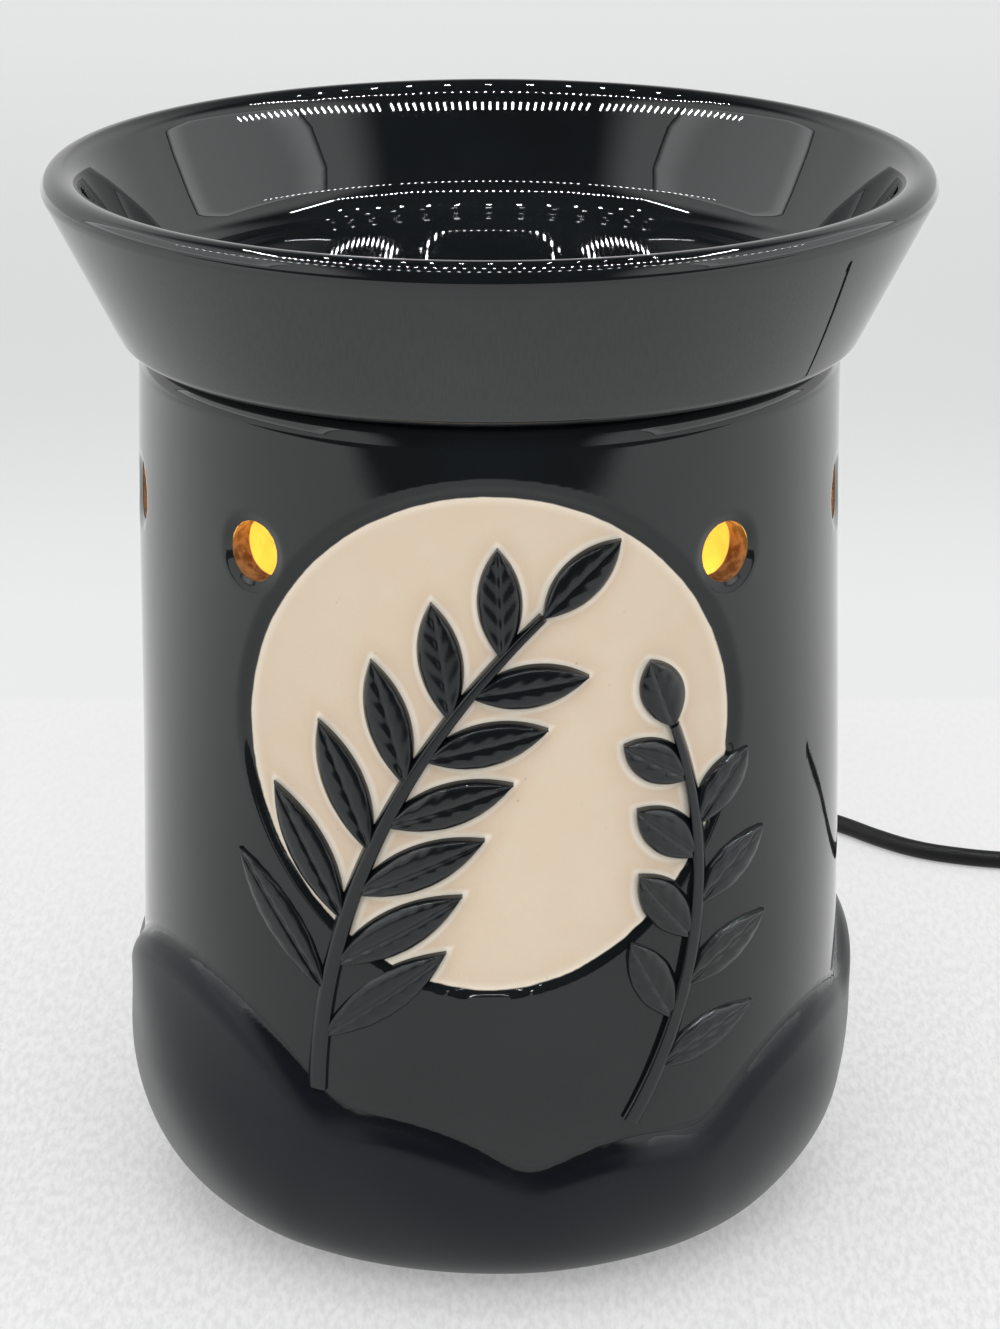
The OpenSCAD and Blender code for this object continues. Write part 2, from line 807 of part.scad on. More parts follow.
// Housing between two wide arcs, with a tapered collar for the cord at each end
module switch_block() {
    intersection() {
        translate([-switch_l / 2, -switch_w / 2, 0])
            cube([switch_l, switch_w, switch_h]);
        translate([0, switch_side_r - switch_w / 2, 0])
            cylinder(r = switch_side_r, h = switch_h);
        translate([0, switch_w / 2 - switch_side_r, 0])
            cylinder(r = switch_side_r, h = switch_h);
    }
    for (end = [0, 180])
        rotate([0, 0, end])
            translate([switch_l / 2 - past, 0, cord_axis_z])
                rotate([0, 90, 0])
                    cylinder(r1 = switch_collar_r, r2 = cord_r + collar_end_wall, h = switch_collar_l + past);
}

module switch_screw_holes(diameter, low_z, high_z) {
    for (side = [-1, 1])
        translate([side * switch_screw_x, 0, low_z])
            cylinder(d = diameter, h = high_z - low_z);
}

module switch_base() {
    color(switch_black)
        on_table_at_switch()
            difference() {
                switch_block();
                translate([-switch_l, -switch_w, cord_axis_z])
                    cube([2 * switch_l, 2 * switch_w, switch_h]);
                translate([-window_r, -window_w / 2, switch_floor_z])
                    cube([2 * window_r, window_w, switch_h]);
                switch_screw_holes(switch_screw_d + 2 * fit_gap, -past, switch_h);
                switch_screw_holes(switch_head_d + 2 * fit_gap, -past, switch_head_h);
            }
}

module switch_cover() {
    color(switch_black)
        on_table_at_switch()
            difference() {
                intersection() {
                    switch_block();
                    translate([-switch_l, 0, switch_h - switch_crown_r])
                        rotate([0, 90, 0])
                            cylinder(r = switch_crown_r, h = 2 * switch_l);
                }
                translate([-switch_l, -switch_w, cord_axis_z - switch_h])
                    cube([2 * switch_l, 2 * switch_w, switch_h]);
                translate([0, window_w / 2, pivot_z])
                    rotate([90, 0, 0])
                        cylinder(r = window_r, h = window_w);
                translate([0, rocker_w / 2 + pivot_l + body_gap, pivot_z])
                    rotate([90, 0, 0])
                        cylinder(d = pivot_d + 2 * fit_gap, h = rocker_w + 2 * pivot_l + 2 * body_gap);
                switch_screw_holes(switch_screw_d + 2 * fit_gap, 0, switch_screw_top_z + switch_head_in);
            }
}

module switch_rocker() {
    color(cord_black)
        on_table_at_switch()
            translate([0, 0, pivot_z])
                rotate([0, -rocker_tilt, 0]) {
                    intersection() {
                        translate([0, rocker_w / 2, 0])
                            rotate([90, 0, 0])
                                cylinder(r = rocker_r, h = rocker_w);
                        translate([0, rocker_w / 2, 0])
                            rotate([90, 0, 0])
                                linear_extrude(rocker_w)
                                    polygon([
                                        [-rocker_r, -rocker_low], [rocker_r, -rocker_low],
                                        [rocker_r, rocker_mid_h + rocker_r * tan(rocker_tilt)],
                                        [0, rocker_mid_h],
                                        [-rocker_r, rocker_mid_h + rocker_r * tan(rocker_tilt)]
                                    ]);
                    }
                    translate([0, rocker_w / 2 + pivot_l, 0])
                        rotate([90, 0, 0])
                            cylinder(d = pivot_d, h = rocker_w + 2 * pivot_l);
                }
}

module switch_contacts() {
    strip = [6, 3, 1];
    strip_x = 5.5;
    color(brass_yellow)
        on_table_at_switch()
            for (side = [-1, 1])
                translate([side * strip_x - strip[0] / 2, -strip[1] / 2, switch_floor_z])
                    cube(strip);
}

module switch_screws() {
    color(steel_grey)
        on_table_at_switch() {
            switch_screw_holes(switch_head_d, switch_head_in, switch_head_h - fit_gap);
            switch_screw_holes(switch_screw_d, 2 * switch_head_in, switch_screw_top_z);
        }
}

// Coil: turns spiral in and out again and climb a layer in the half turn where the spiral reverses
coil_layers = 4;
coil_rings = 24;
coil_loops = coil_turns * coil_layers;
coil_out_r = coil_in_r + coil_turns * coil_pitch;
coil_mid = [switch_x - coil_out_r, 0];
coil_low_z = cord_r + tie_t + body_gap + fit_gap;
climb = 0.5;

function coil_r(turn) =
    let (phase = turn / coil_turns, layer = floor(phase), share = phase - layer)
        coil_in_r + coil_turns * coil_pitch * (layer % 2 == 0 ? 1 - share : share);
function coil_level(turn) =
    let (change = max(1, min(coil_layers - 1, round(turn / coil_turns))))
        change - 1 + max(0, min(1, (turn - change * coil_turns) / climb + 0.5));
function coil_point(turn) =
    let (at = polar(coil_mid, coil_r(turn), -360 * turn))
        [at[0], at[1], coil_low_z + coil_pitch * coil_level(turn)];

coil_start = [switch_x, cord_d, coil_low_z];
coil_end = [switch_x, -cord_d, coil_low_z + coil_pitch * (coil_layers - 1)];
coil_path = concat(
    [coil_start, coil_start - [0, cord_r, 0]],
    [for (i = [0:coil_rings * coil_loops]) coil_point(i / coil_rings)],
    [coil_end + [0, cord_r, 0], coil_end]
);
function path_length(points) =
    len(points) < 2 ? 0 : [for (i = [1:len(points) - 1]) norm(points[i] - points[i - 1])]
        * [for (i = [1:len(points) - 1]) 1];
coil_length = path_length(coil_path);

// Least gap between stretches of the coil more than half a loop apart
coil_gap = min([
    for (i = [0:len(coil_path) - 1], j = [i + coil_rings / 2:len(coil_path) - 1])
        norm(coil_path[i] - coil_path[j])
]) - cord_d;

module cord_coil() {
    echo(coil_least_gap = coil_gap, coil_length = coil_length);
    color(cord_black)
        tube(coil_path, cord_d, 6);
}

// Short stretches from the switch to the coil and from the coil to the plug
link_from_y = switch_y - switch_reach;
link_route = [
    [switch_x, link_from_y, cord_axis_z], [switch_x, link_from_y - 3, cord_axis_z], [switch_x, 20, 6.6],
    [switch_x, 15, 4.6], [switch_x, 10, 3.1], [switch_x, cord_d + 3, coil_low_z], coil_start
];

module cord_link() {
    color(cord_black)
        tube(link_route, cord_d, 8);
}

plug_y = -36;
plug_axis_z = plug_h / 2;
tail_route = [
    coil_end, coil_end - [0, 3, 0], [switch_x, -12, 12.4], [switch_x, -18, 11], [switch_x, -25, 9],
    [switch_x, plug_y + 3, plug_axis_z], [switch_x, plug_y, plug_axis_z]
];

module cord_tail() {
    color(cord_black)
        tube(tail_route, cord_d, 8);
}

// Strap round the bundle of turns
tie_angle = 180;
tie_corner = 2;
tie_in = [coil_in_r - cord_r - body_gap, coil_out_r + cord_r + body_gap];
tie_low = coil_low_z - cord_r - body_gap;
tie_high = coil_end[2] + cord_r + body_gap;

// Rectangle with rounded corners, grown outwards by a margin
function tie_outline(margin, corner) = [
    for (k = [0:3])
        let (
            x = k == 0 || k == 3 ? tie_in[1] + margin - corner : tie_in[0] - margin + corner,
            z = k < 2 ? tie_high + margin - corner : tie_low - margin + corner
        )
        each arc([x, z], corner, 90 * k, 90 * k + 90, 4)
];

module coil_tie() {
    color(cord_black)
        translate([coil_mid[0], coil_mid[1], 0])
            rotate([0, 0, tie_angle])
                rotate([90, 0, 0])
                    translate([0, 0, -tie_w / 2])
                        difference() {
                            linear_extrude(tie_w)
                                polygon(tie_outline(tie_t, tie_corner));
                            translate([0, 0, -past])
                                linear_extrude(tie_w + 2 * past)
                                    polygon(tie_outline(0, tie_corner - tie_t));
                        }
}

// Plug, lying with its blades side by side and pointing to the front
plug_round = 1.2;
plug_round_r = plug_w / 2 + plug_round;
blade_root = 4;
blade_low_w = 6.35;
blade_wide_w = 7.9;
blade_hole_d = 3;
blade_hole_from_tip = 4;

module along_plug(from) {
    translate([switch_x, plug_y - from, plug_axis_z])
        rotate([90, 0, 0])
            children();
}

// Both blades, longer and thicker by a gap when they are cut out of the plug
module blades(gap) {
    for (side = [-1, 1])
        let (width = side < 0 ? blade_low_w : blade_wide_w)
            translate([side * blade_pitch / 2 - blade_t / 2 - gap, -width / 2 - gap, -blade_root - gap])
                cube([blade_t + 2 * gap, width + 2 * gap, blade_root + blade_l + gap]);
}

module plug_body() {
    color(cord_black)
        difference() {
            union() {
                along_plug(0)
                    cylinder(r1 = cord_r + collar_end_wall, r2 = plug_h / 2 - past, h = plug_boot_l);
                intersection() {
                    along_plug(plug_boot_l - past)
                        translate([-plug_w / 2, -plug_h / 2, 0])
                            cube([plug_w, plug_h, plug_l + past]);
                    along_plug(plug_boot_l - past)
                        cylinder(r = plug_round_r, h = plug_l + past);
                }
            }
            along_plug(plug_boot_l + plug_l)
                blades(fit_gap);
        }
}

module plug_blades() {
    color(brass_yellow)
        difference() {
            along_plug(plug_boot_l + plug_l)
                blades(0);
            along_plug(plug_boot_l + plug_l + blade_l - blade_hole_from_tip)
                rotate([0, 90, 0])
                    translate([0, 0, -plug_w])
                        cylinder(d = blade_hole_d, h = 2 * plug_w);
        }
}

dish();
body_shell();
base_plate();
plate_clips();
plate_screws();
rubber_feet();
holder_housing();
screw_shell();
centre_contact();
terminal_screws();
holder_nipple();
lock_nut();
inner_leads();
bulb_glass();
bulb_cap();
bulb_insulator();
bulb_tip();
bulb_stem();
bulb_supports();
bulb_filament();
cord_boot();
cord_lead();
switch_base();
switch_cover();
switch_rocker();
switch_contacts();
switch_screws();
cord_link();
cord_coil();
cord_tail();
coil_tie();
plug_body();
plug_blades();
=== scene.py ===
# %% [markdown]
# # Wax warmer
# A ceramic wax warmer is two glazed castings: a loose dish, and a body with a lamp inside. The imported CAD
# model is loaded first, because every piece below stands where its solid stands. All shapes are worked out
# in millimetres and turned into metres when a mesh is made.

import json
import math

import bmesh
import bpy
import numpy as np
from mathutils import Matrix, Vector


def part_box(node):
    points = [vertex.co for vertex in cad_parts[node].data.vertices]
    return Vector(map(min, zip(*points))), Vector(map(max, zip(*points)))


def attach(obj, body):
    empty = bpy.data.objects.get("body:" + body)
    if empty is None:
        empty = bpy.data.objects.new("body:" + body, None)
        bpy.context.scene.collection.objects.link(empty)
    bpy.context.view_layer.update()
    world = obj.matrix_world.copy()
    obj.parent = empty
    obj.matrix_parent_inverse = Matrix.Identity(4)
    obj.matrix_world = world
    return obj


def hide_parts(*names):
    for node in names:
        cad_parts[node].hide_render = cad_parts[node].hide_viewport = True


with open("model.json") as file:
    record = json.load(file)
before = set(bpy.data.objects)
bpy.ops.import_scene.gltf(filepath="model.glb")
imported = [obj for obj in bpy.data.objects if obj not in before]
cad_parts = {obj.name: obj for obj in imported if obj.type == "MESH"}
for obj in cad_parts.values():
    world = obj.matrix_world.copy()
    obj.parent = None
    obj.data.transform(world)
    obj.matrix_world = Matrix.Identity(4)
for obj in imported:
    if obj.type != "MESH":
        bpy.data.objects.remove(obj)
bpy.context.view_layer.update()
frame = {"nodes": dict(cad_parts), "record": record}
nodes = frame["nodes"]
MM = 0.001

# %% New objects in place of solids
record = frame["record"]
slot_of = {row["node"]: row["material_slot"] for row in record["subparts"]}
body_of = {node: name for name, members in record["behaviour"]["bodies"].items() for node in members}


def put(name, data):
    """Puts data into the scene as a new object."""
    made = bpy.data.objects.new(name, data)
    bpy.context.scene.collection.objects.link(made)
    return made


def stand_in(piece, *solids):
    """Lets a piece ride on the body of the solids that it replaces, and hides those solids."""
    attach(piece, body_of[solids[0]])
    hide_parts(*solids)


print("slots:", sorted(set(slot_of.values())))

# %% [markdown]
# ## Camera
# The photograph was taken from a little above, straight on to the medallion. Its viewing angle was found by
# fitting the dish's lip, the rim and the base to their outlines. A long lens keeps the cylinder's sides
# nearly parallel, so the focal length is given in pixels of the photograph and turned into millimetres.

# %% Camera at the photograph's viewing angle
PHOTO_H = 1329
FOCAL_PX = 4022
SENSOR_MM = 36.0
CAMERA_AT = (1.4, -540.0, 264.4)
CAMERA_DOWN = 19.09

camera_data = bpy.data.cameras.new("photo_camera")
camera_data.sensor_width = SENSOR_MM
camera_data.lens = FOCAL_PX * SENSOR_MM / PHOTO_H
camera = put("photo_camera", camera_data)
camera.location = [value * MM for value in CAMERA_AT]
camera.rotation_euler = (math.radians(90 - CAMERA_DOWN), 0, 0)
bpy.context.scene.camera = camera
bpy.context.scene.view_settings.view_transform = "Standard"
print("lens:", round(camera_data.lens, 1), "mm")

# %% [markdown]
# ## Mains lead
# The lead is a round black cord, 3 mm thick. It leaves a rubber sleeve in the rear wall, drops to the table,
# comes round to the right and goes into a small rocker switch. Behind the switch the rest is wound up for
# storage, four layers of turns that spiral in and out again, and it ends in a plug. A curve with a round
# bevel is the natural way to draw a cord, because its own line is the cord's length.

# %% Routes of the lead
CORD_D = 3.0
SWITCH_X = 192.0
BOOT_END = (0, 78, 14)
LEAD_ROUTE = [
    BOOT_END, (0, 81, 14), (0, 88, 13.4), (0, 95, 11), (1, 102, 7.5), (2, 109, 4.4), (5, 117, 2.4),
    (9, 125, 1.7), (15, 132, 1.5), (22, 138, 1.5), (31, 142, 1.5), (41, 143, 1.5), (50, 141, 1.5),
    (57, 137, 1.5), (63, 131.5, 1.5), (69, 125, 1.5), (75, 120, 1.5), (82, 116.8, 1.5), (90, 114.7, 1.5),
    (100, 113.1, 1.5), (112, 112.3, 1.5), (126, 112, 1.5), (140, 112, 1.5), (154, 112, 1.5),
    (167, 111.5, 1.5), (176, 109.2, 1.7), (183, 104.5, 2.6), (188, 98, 4.4), (191, 92, 6.6),
    (SWITCH_X, 89, 8), (SWITCH_X, 86, 8),
]
LINK_ROUTE = [
    (SWITCH_X, 28, 8), (SWITCH_X, 25, 8), (SWITCH_X, 20, 6.6), (SWITCH_X, 15, 4.6), (SWITCH_X, 10, 3.1),
    (SWITCH_X, 6, 2.7), (SWITCH_X, 3, 2.7),
]
TAIL_ROUTE = [
    (SWITCH_X, -3, 13.2), (SWITCH_X, -6, 13.2), (SWITCH_X, -12, 12.4), (SWITCH_X, -18, 11),
    (SWITCH_X, -25, 9), (SWITCH_X, -33, 7.5), (SWITCH_X, -36, 7.5),
]
COIL_LAYERS = 4
COIL_TURNS = 2.75
COIL_PITCH = 3.5
COIL_IN_R = 12.0
COIL_LOW_Z = 2.7
COIL_STEPS = 24
COIL_OUT_R = COIL_IN_R + COIL_TURNS * COIL_PITCH
COIL_MID_X = SWITCH_X - COIL_OUT_R


def coil_point(turn):
    """A point of the coil after so many turns. It spirals in on one layer and out on the next."""
    phase = turn / COIL_TURNS
    share = phase - math.floor(phase)
    inwards = 1 - share if math.floor(phase) % 2 == 0 else share
    radius = COIL_IN_R + COIL_TURNS * COIL_PITCH * inwards
    change = max(1, min(COIL_LAYERS - 1, round(phase)))
    climb = max(0, min(1, 2 * (turn - change * COIL_TURNS) + 0.5))
    angle = -2 * math.pi * turn
    height = COIL_LOW_Z + COIL_PITCH * (change - 1 + climb)
    return (COIL_MID_X + radius * math.cos(angle), radius * math.sin(angle), height)


coil_count = int(COIL_STEPS * COIL_TURNS * COIL_LAYERS)
coil_route = [coil_point(i / COIL_STEPS) for i in range(coil_count + 1)]
print("turns in the coil:", COIL_TURNS * COIL_LAYERS)

# %% Curves of the lead
SUPPLY_WIRE_D = 1.8
SUPPLY_ROUTE = [
    (1.2, 40.8, 14), (1.4, 38, 14), (5, 33, 13.5), (11, 26, 12), (17, 18, 10), (18.85, 11, 8.6),
    (18.85, 6.8, 8), (18.85, 3.8, 8),
]


def new_curve(name, roundness):
    """An empty curve with a round bevel, as thick as its points say."""
    data = bpy.data.curves.new(name, "CURVE")
    data.dimensions = "3D"
    data.bevel_depth = 1.0
    data.bevel_resolution = roundness
    return data


def cord_curve(name, routes, diameter):
    """A smooth round cord through the points of each route."""
    data = new_curve(name, 5)
    data.resolution_u = 6
    data.use_fill_caps = True
    for route in routes:
        spline = data.splines.new("BEZIER")
        spline.bezier_points.add(len(route) - 1)
        for knot, place in zip(spline.bezier_points, route):
            knot.co = [value * MM for value in place]
            knot.radius = diameter / 2 * MM
            knot.handle_left_type = "AUTO"
            knot.handle_right_type = "AUTO"
    return put(name, data)


lead = cord_curve("lead_to_switch", [LEAD_ROUTE], CORD_D)
coiled_lead = cord_curve("lead_coiled", [LINK_ROUTE + coil_route + TAIL_ROUTE], CORD_D)
mirrored_route = [(-x, y, z) for x, y, z in SUPPLY_ROUTE]
inner_leads = cord_curve("supply_wires", [SUPPLY_ROUTE, mirrored_route], SUPPLY_WIRE_D)
stand_in(lead, "cord_lead")
stand_in(coiled_lead, "cord_link", "cord_coil", "cord_tail")
stand_in(inner_leads, "inner_leads")
print("cords:", lead.name, coiled_lead.name, inner_leads.name)

# %% [markdown]
# ## Tools for materials
# A material is a small graph of nodes, so a few helpers keep the recipes readable: one adds a node, one lets
# a socket take a plain value or a link, and the others make the nodes that come back in every finish, in
# the same graph as the socket they are given. All patterns read object coordinates, which are metres here,
# so a scale of 1000 means about one cell for each millimetre.

# %% Helpers for shader nodes


def feed(socket, value):
    """Gives a socket a plain value, or links another socket to it."""
    if isinstance(value, bpy.types.NodeSocket):
        socket.id_data.links.new(value, socket)
    else:
        socket.default_value = value


def set_inputs(node, values):
    """Feeds a node's inputs by name, with _ for a space."""
    for name, value in values.items():
        feed(node.inputs[name.replace("_", " ")], value)


def add(tree, kind, **values):
    made = tree.nodes.new("ShaderNode" + kind)
    set_inputs(made, values)
    return made


def places(tree, stretch=(1, 1, 1)):
    """Object coordinates, stretched along the axes."""
    source = add(tree, "TexCoord").outputs["Object"]
    return add(tree, "Mapping", Vector=source, Scale=stretch).outputs["Vector"]


def axes(vector):
    """The X, Y and Z of a vector."""
    return add(vector.id_data, "SeparateXYZ", Vector=vector).outputs


def noise(vector, scale, detail=2.0, roughness=0.5):
    made = add(vector.id_data, "TexNoise", Vector=vector, Scale=scale, Detail=detail, Roughness=roughness)
    return made.outputs[0]


def remap(value, low, high, start=0.0, end=1.0):
    """Turns the range from low to high into the range from start to end, with soft ends."""
    made = add(value.id_data, "MapRange", Value=value, From_Min=low, From_Max=high, To_Min=start, To_Max=end)
    made.interpolation_type = "SMOOTHSTEP"
    return made.outputs["Result"]


def mix_colour(share, first, second):
    made = add(share.id_data, "Mix")
    made.data_type = "RGBA"
    for index, value in ((0, share), (6, first), (7, second)):
        feed(made.inputs[index], value)
    return made.outputs[2]


def blend(value, low, high, first, second):
    """Mixes two colours, the first where a value is under low, the second where it is over high."""
    return mix_colour(remap(value, low, high), first, second)


def mix_value(share, first, second):
    made = add(share.id_data, "Mix")
    for index, value in ((0, share), (2, first), (3, second)):
        feed(made.inputs[index], value)
    return made.outputs[0]


def combine(operation, first, second=0.0):
    made = add(first.id_data, "Math")
    made.operation = operation
    feed(made.inputs[0], first)
    feed(made.inputs[1], second)
    return made.outputs[0]


def bump(height, distance_mm, strength=1.0):
    made = add(height.id_data, "Bump", Height=height, Distance=distance_mm * MM, Strength=strength)
    return made.outputs["Normal"]


def attribute(tree, name):
    made = add(tree, "Attribute")
    made.attribute_name = name
    return made.outputs["Fac"]


print("material helpers ready")

# %% [markdown]
# ## Effects that several finishes share
# Glaze, clay, moulded plastic and drawn metal each have a surface of their own, and more than one piece has
# it. Each is a node group with named inputs, placed in the materials with other values. A group
# hands out only heights and masks, and the shader itself stays in the material.

# %% Shader groups


def new_group(name, inputs, outputs):
    """An empty node group with named number sockets, and the sockets at its two ends."""
    tree = bpy.data.node_groups.new(name, "ShaderNodeTree")
    for label, value in inputs.items():
        made = tree.interface.new_socket(label, in_out="INPUT", socket_type="NodeSocketFloat")
        made.default_value = value
    for label in outputs:
        tree.interface.new_socket(label, in_out="OUTPUT", socket_type="NodeSocketFloat")
    return tree, tree.nodes.new("NodeGroupInput").outputs, tree.nodes.new("NodeGroupOutput").inputs


def use_group(tree, group, **values):
    made = tree.nodes.new("ShaderNodeGroup")
    made.node_tree = group
    set_inputs(made, values)
    return made.outputs


glaze_group, taken, given = new_group("glaze_surface", {"Scale": 60.0, "Peel": 0.05}, ["Height", "Tone"])
spot = places(glaze_group)
waves = noise(spot, taken["Scale"])
peel = combine("MULTIPLY", noise(spot, 900, 1), taken["Peel"])
feed(given["Height"], combine("ADD", waves, peel))
feed(given["Tone"], noise(spot, 35, 4, 0.6))

clay_group, taken, given = new_group("clay_grain", {"Scale": 1800.0}, ["Height", "Speckle", "Tone"])
spot = places(clay_group)
specks = add(clay_group, "TexVoronoi", Vector=spot, Scale=620.0)
speck_size = remap(specks.outputs["Distance"], 0.05, 0.16, 1, 0)
speck_choice = remap(noise(spot, 420, 1), 0.60, 0.70)
feed(given["Height"], noise(spot, taken["Scale"], 3, 0.6))
feed(given["Speckle"], combine("MULTIPLY", speck_size, speck_choice))
feed(given["Tone"], noise(spot, 70, 5, 0.6))

moulded_group, taken, given = new_group("moulded_grain", {"Scale": 2600.0}, ["Height", "Tone"])
spot = places(moulded_group)
feed(given["Height"], noise(spot, taken["Scale"]))
feed(given["Tone"], noise(spot, 120, 4, 0.6))

metal_group, taken, given = new_group("drawn_metal", {"Scale": 1500.0}, ["Height", "Tone"])
drawn_out = places(metal_group, (1, 0.06, 1))
feed(given["Height"], noise(drawn_out, taken["Scale"], 3))
feed(given["Tone"], noise(places(metal_group), 160, 5, 0.65))
print("shader groups:", [group.name for group in bpy.data.node_groups])

# %% [markdown]
# ## Profile of the body
# The body is one slip-cast shell. Its outline is a foot ring, a rounded base, a wall that narrows a little
# upwards and a rounded shoulder, and inside it has a floor with a stepped hole for the plate. One grid
# that runs all the way round this closed outline gives the whole casting, inside and outside, without loose
# edges. The rows are close together where relief and holes need detail.

# %% Rows and columns of the body's grid
BODY_H = 126.0
BODY_TOP_R = 48.3
BODY_LOW_R = 50.2
BODY_WALL = 4.0
BASE_CURVE_H = 26.0
SHOULDER_R = 3.0
FOOT_R = 37.0
FOOT_LIFT = 1.5
FLOOR_Z = 9.0
SEAT_Z = 5.0
RECESS_R = 33.0
LEDGE_R = 27.0
HOLE_Z = 106.0
HOLE_R = 4.1
HOLE_AZIMUTHS = [40 * i for i in range(-4, 5) if i != 0]
ROW_STEP = 0.5
HOLE_REACH = 9.0
HOLE_SPAN = 10.5
FRONT_SPAN = 58.0


def wall_radius(z):
    """Radius of the plain outer wall over the rounded base."""
    return BODY_LOW_R + (BODY_TOP_R - BODY_LOW_R) * (z - BASE_CURVE_H) / (BODY_H - BASE_CURVE_H)


def quarter(from_r, from_z, to_r, count):
    """Quarter of an ellipse from a foot point up to the wall, as radius and height."""
    angles = np.linspace(0, math.pi / 2, count)
    rise = BASE_CURVE_H - from_z
    return [(from_r + (to_r - from_r) * math.sin(a), from_z + rise * (1 - math.cos(a))) for a in angles]


def circle_point(middle, radius, angle):
    turn = math.radians(angle)
    return (middle[0] + radius * math.cos(turn), middle[1] + radius * math.sin(turn))


def arc_points(middle, radius, start, end, count):
    """Points of an arc, with angles in degrees."""
    return [circle_point(middle, radius, angle) for angle in np.linspace(start, end, count)]


wall_rows = np.arange(BASE_CURVE_H + ROW_STEP, BODY_H - SHOULDER_R + 0.01, ROW_STEP)
shoulder_mid = (BODY_TOP_R - SHOULDER_R, BODY_H - SHOULDER_R)
shoulder_rows = arc_points(shoulder_mid, SHOULDER_R, 0, 90, 9)[1:]
low_rows = quarter(FOOT_R, FOOT_LIFT, BODY_LOW_R, 41)
outer_rows = [(RECESS_R + 1, FOOT_LIFT), (FOOT_R - 2, FOOT_LIFT)] + low_rows
outer_rows += [(wall_radius(z), z) for z in wall_rows] + shoulder_rows
hole_rows = np.arange(HOLE_Z + HOLE_REACH, HOLE_Z - HOLE_REACH - 0.01, -ROW_STEP)
inner_heights = [BODY_H - 0.3, BODY_H - 2, BODY_H - 6] + list(hole_rows) + list(np.linspace(90, 32, 9))
mouth_r = BODY_TOP_R - BODY_WALL
inner_rows = [(mouth_r + 0.3, BODY_H)] + [(wall_radius(z) - BODY_WALL, z) for z in inner_heights]
inner_rows += quarter(FOOT_R - BODY_WALL, FLOOR_Z, BODY_LOW_R - BODY_WALL, 14)[::-1]
inner_rows += [
    (LEDGE_R + 0.4, FLOOR_Z), (LEDGE_R, FLOOR_Z - 0.4), (LEDGE_R, SEAT_Z), (RECESS_R, SEAT_Z),
    (RECESS_R, FOOT_LIFT + 0.6),
]
rows = np.array(outer_rows + inner_rows)
outer_count = len(outer_rows)


def close_to_detail(azimuth):
    """Says whether fine columns are needed: on the front, and round each light hole."""
    return abs(azimuth) < FRONT_SPAN or any(abs(azimuth - hole) < HOLE_SPAN for hole in HOLE_AZIMUTHS)


azimuths = []
azimuth = -180.0
while azimuth < 180:
    azimuths.append(azimuth)
    azimuth += 0.5 if close_to_detail(azimuth + 0.25) else 1.0
azimuths = np.array(azimuths)
print("body grid:", len(rows), "rows,", len(azimuths), "columns")

# %% [markdown]
# ## Relief of the body
# The real body carries a round sunk medallion on its front and a wavy raised band round its base, both
# pressed into the mould, and the glaze has softened every edge. Carving them with booleans would give hard
# edges, so the grid is moved in and out by a height field instead. Each form is a signed distance to
# its edge: the distance gives the height, and it is stored on the mesh, where the material paints with it.

# %% Distances to the medallion, the hills and the sprigs
MEDALLION_Z = 82.7
MEDALLION_HALF_W = 32.3
MEDALLION_HALF_H = 34.2
MEDALLION_DEPTH = 0.8
# A hill: azimuth of its middle, height of its crest, radius
HILLS = [
    (-160, 35, 32), (-108, 39, 33), (-60, 45, 34), (-18, 29, 28), (24, 25, 26), (64, 36, 30), (110, 42, 34),
    (156, 32, 30),
]
HILL_PROUD = 2.2
LOWER_HILL_PROUD = 1.7
HILL_MERGE = 2.2
# A sprig: middle and radius of the stem's arc, angles at foot and tip, pairs of leaves, two leaf lengths
SPRIGS = [((76, 29), 99.4, 178, 134, 6, 23, 14), ((-39, 62), 67, -30, 19, 4, 15, 10)]
LEAF_W = 6.0
LEAF_SPREAD = 44
LEAF_STAGGER = 0.3
STEM_WIDTHS = (3.0, 1.4)


def smooth(value, low, high):
    """Smooth step from 0 at low to 1 at high."""
    share = np.clip((value - low) / (high - low), 0, 1)
    return share * share * (3 - 2 * share)


def medallion_distance(x, z, front):
    """Distance to the medallion's edge seen from the front, below 0 inside it."""
    across = x / MEDALLION_HALF_W
    along = (z - MEDALLION_Z) / MEDALLION_HALF_H
    reach = np.maximum(np.hypot(across, along), 0.05)
    slope = np.hypot(across / MEDALLION_HALF_W, along / MEDALLION_HALF_H) / reach
    return np.where(front, (reach - 1) / np.maximum(slope, 1e-4), 60)


def hill_heights(azimuth, radius, z):
    """Height of the hills, which run into each other, and the distance inside their edge."""
    total = np.full_like(z, 1e-9)
    proud_total = np.full_like(z, 1e-9)
    for index, (middle, crest, size) in enumerate(HILLS):
        turn = np.radians((azimuth - middle + 180) % 360 - 180)
        across = np.where(np.abs(turn) < math.pi / 2, radius * np.sin(turn), 90)
        depth = size - np.hypot(across, z - crest + size)
        share = np.exp(np.clip(depth, -40, 40) / HILL_MERGE)
        total += share
        proud_total += share * (HILL_PROUD if index % 2 == 0 else LOWER_HILL_PROUD)
    inside = HILL_MERGE * np.log(total)
    height = proud_total / total * np.sqrt(smooth(inside, -0.4, 3.6))
    return height, inside


def sprig_leaves(middle, radius, foot, tip, pairs, low_length, high_length):
    """Stalk point, direction and length of each leaf of a sprig."""
    turn = 90 if tip > foot else -90
    leaves = []
    for pair in range(1, pairs + 1):
        for side in (-1, 1):
            share = (pair + side * LEAF_STAGGER) / (pairs + 1)
            angle = foot + (tip - foot) * share
            length = low_length + (high_length - low_length) * share
            leaves.append((circle_point(middle, radius, angle), angle + turn + side * LEAF_SPREAD, length))
    leaves.append((circle_point(middle, radius, tip), tip + turn, high_length))
    return leaves


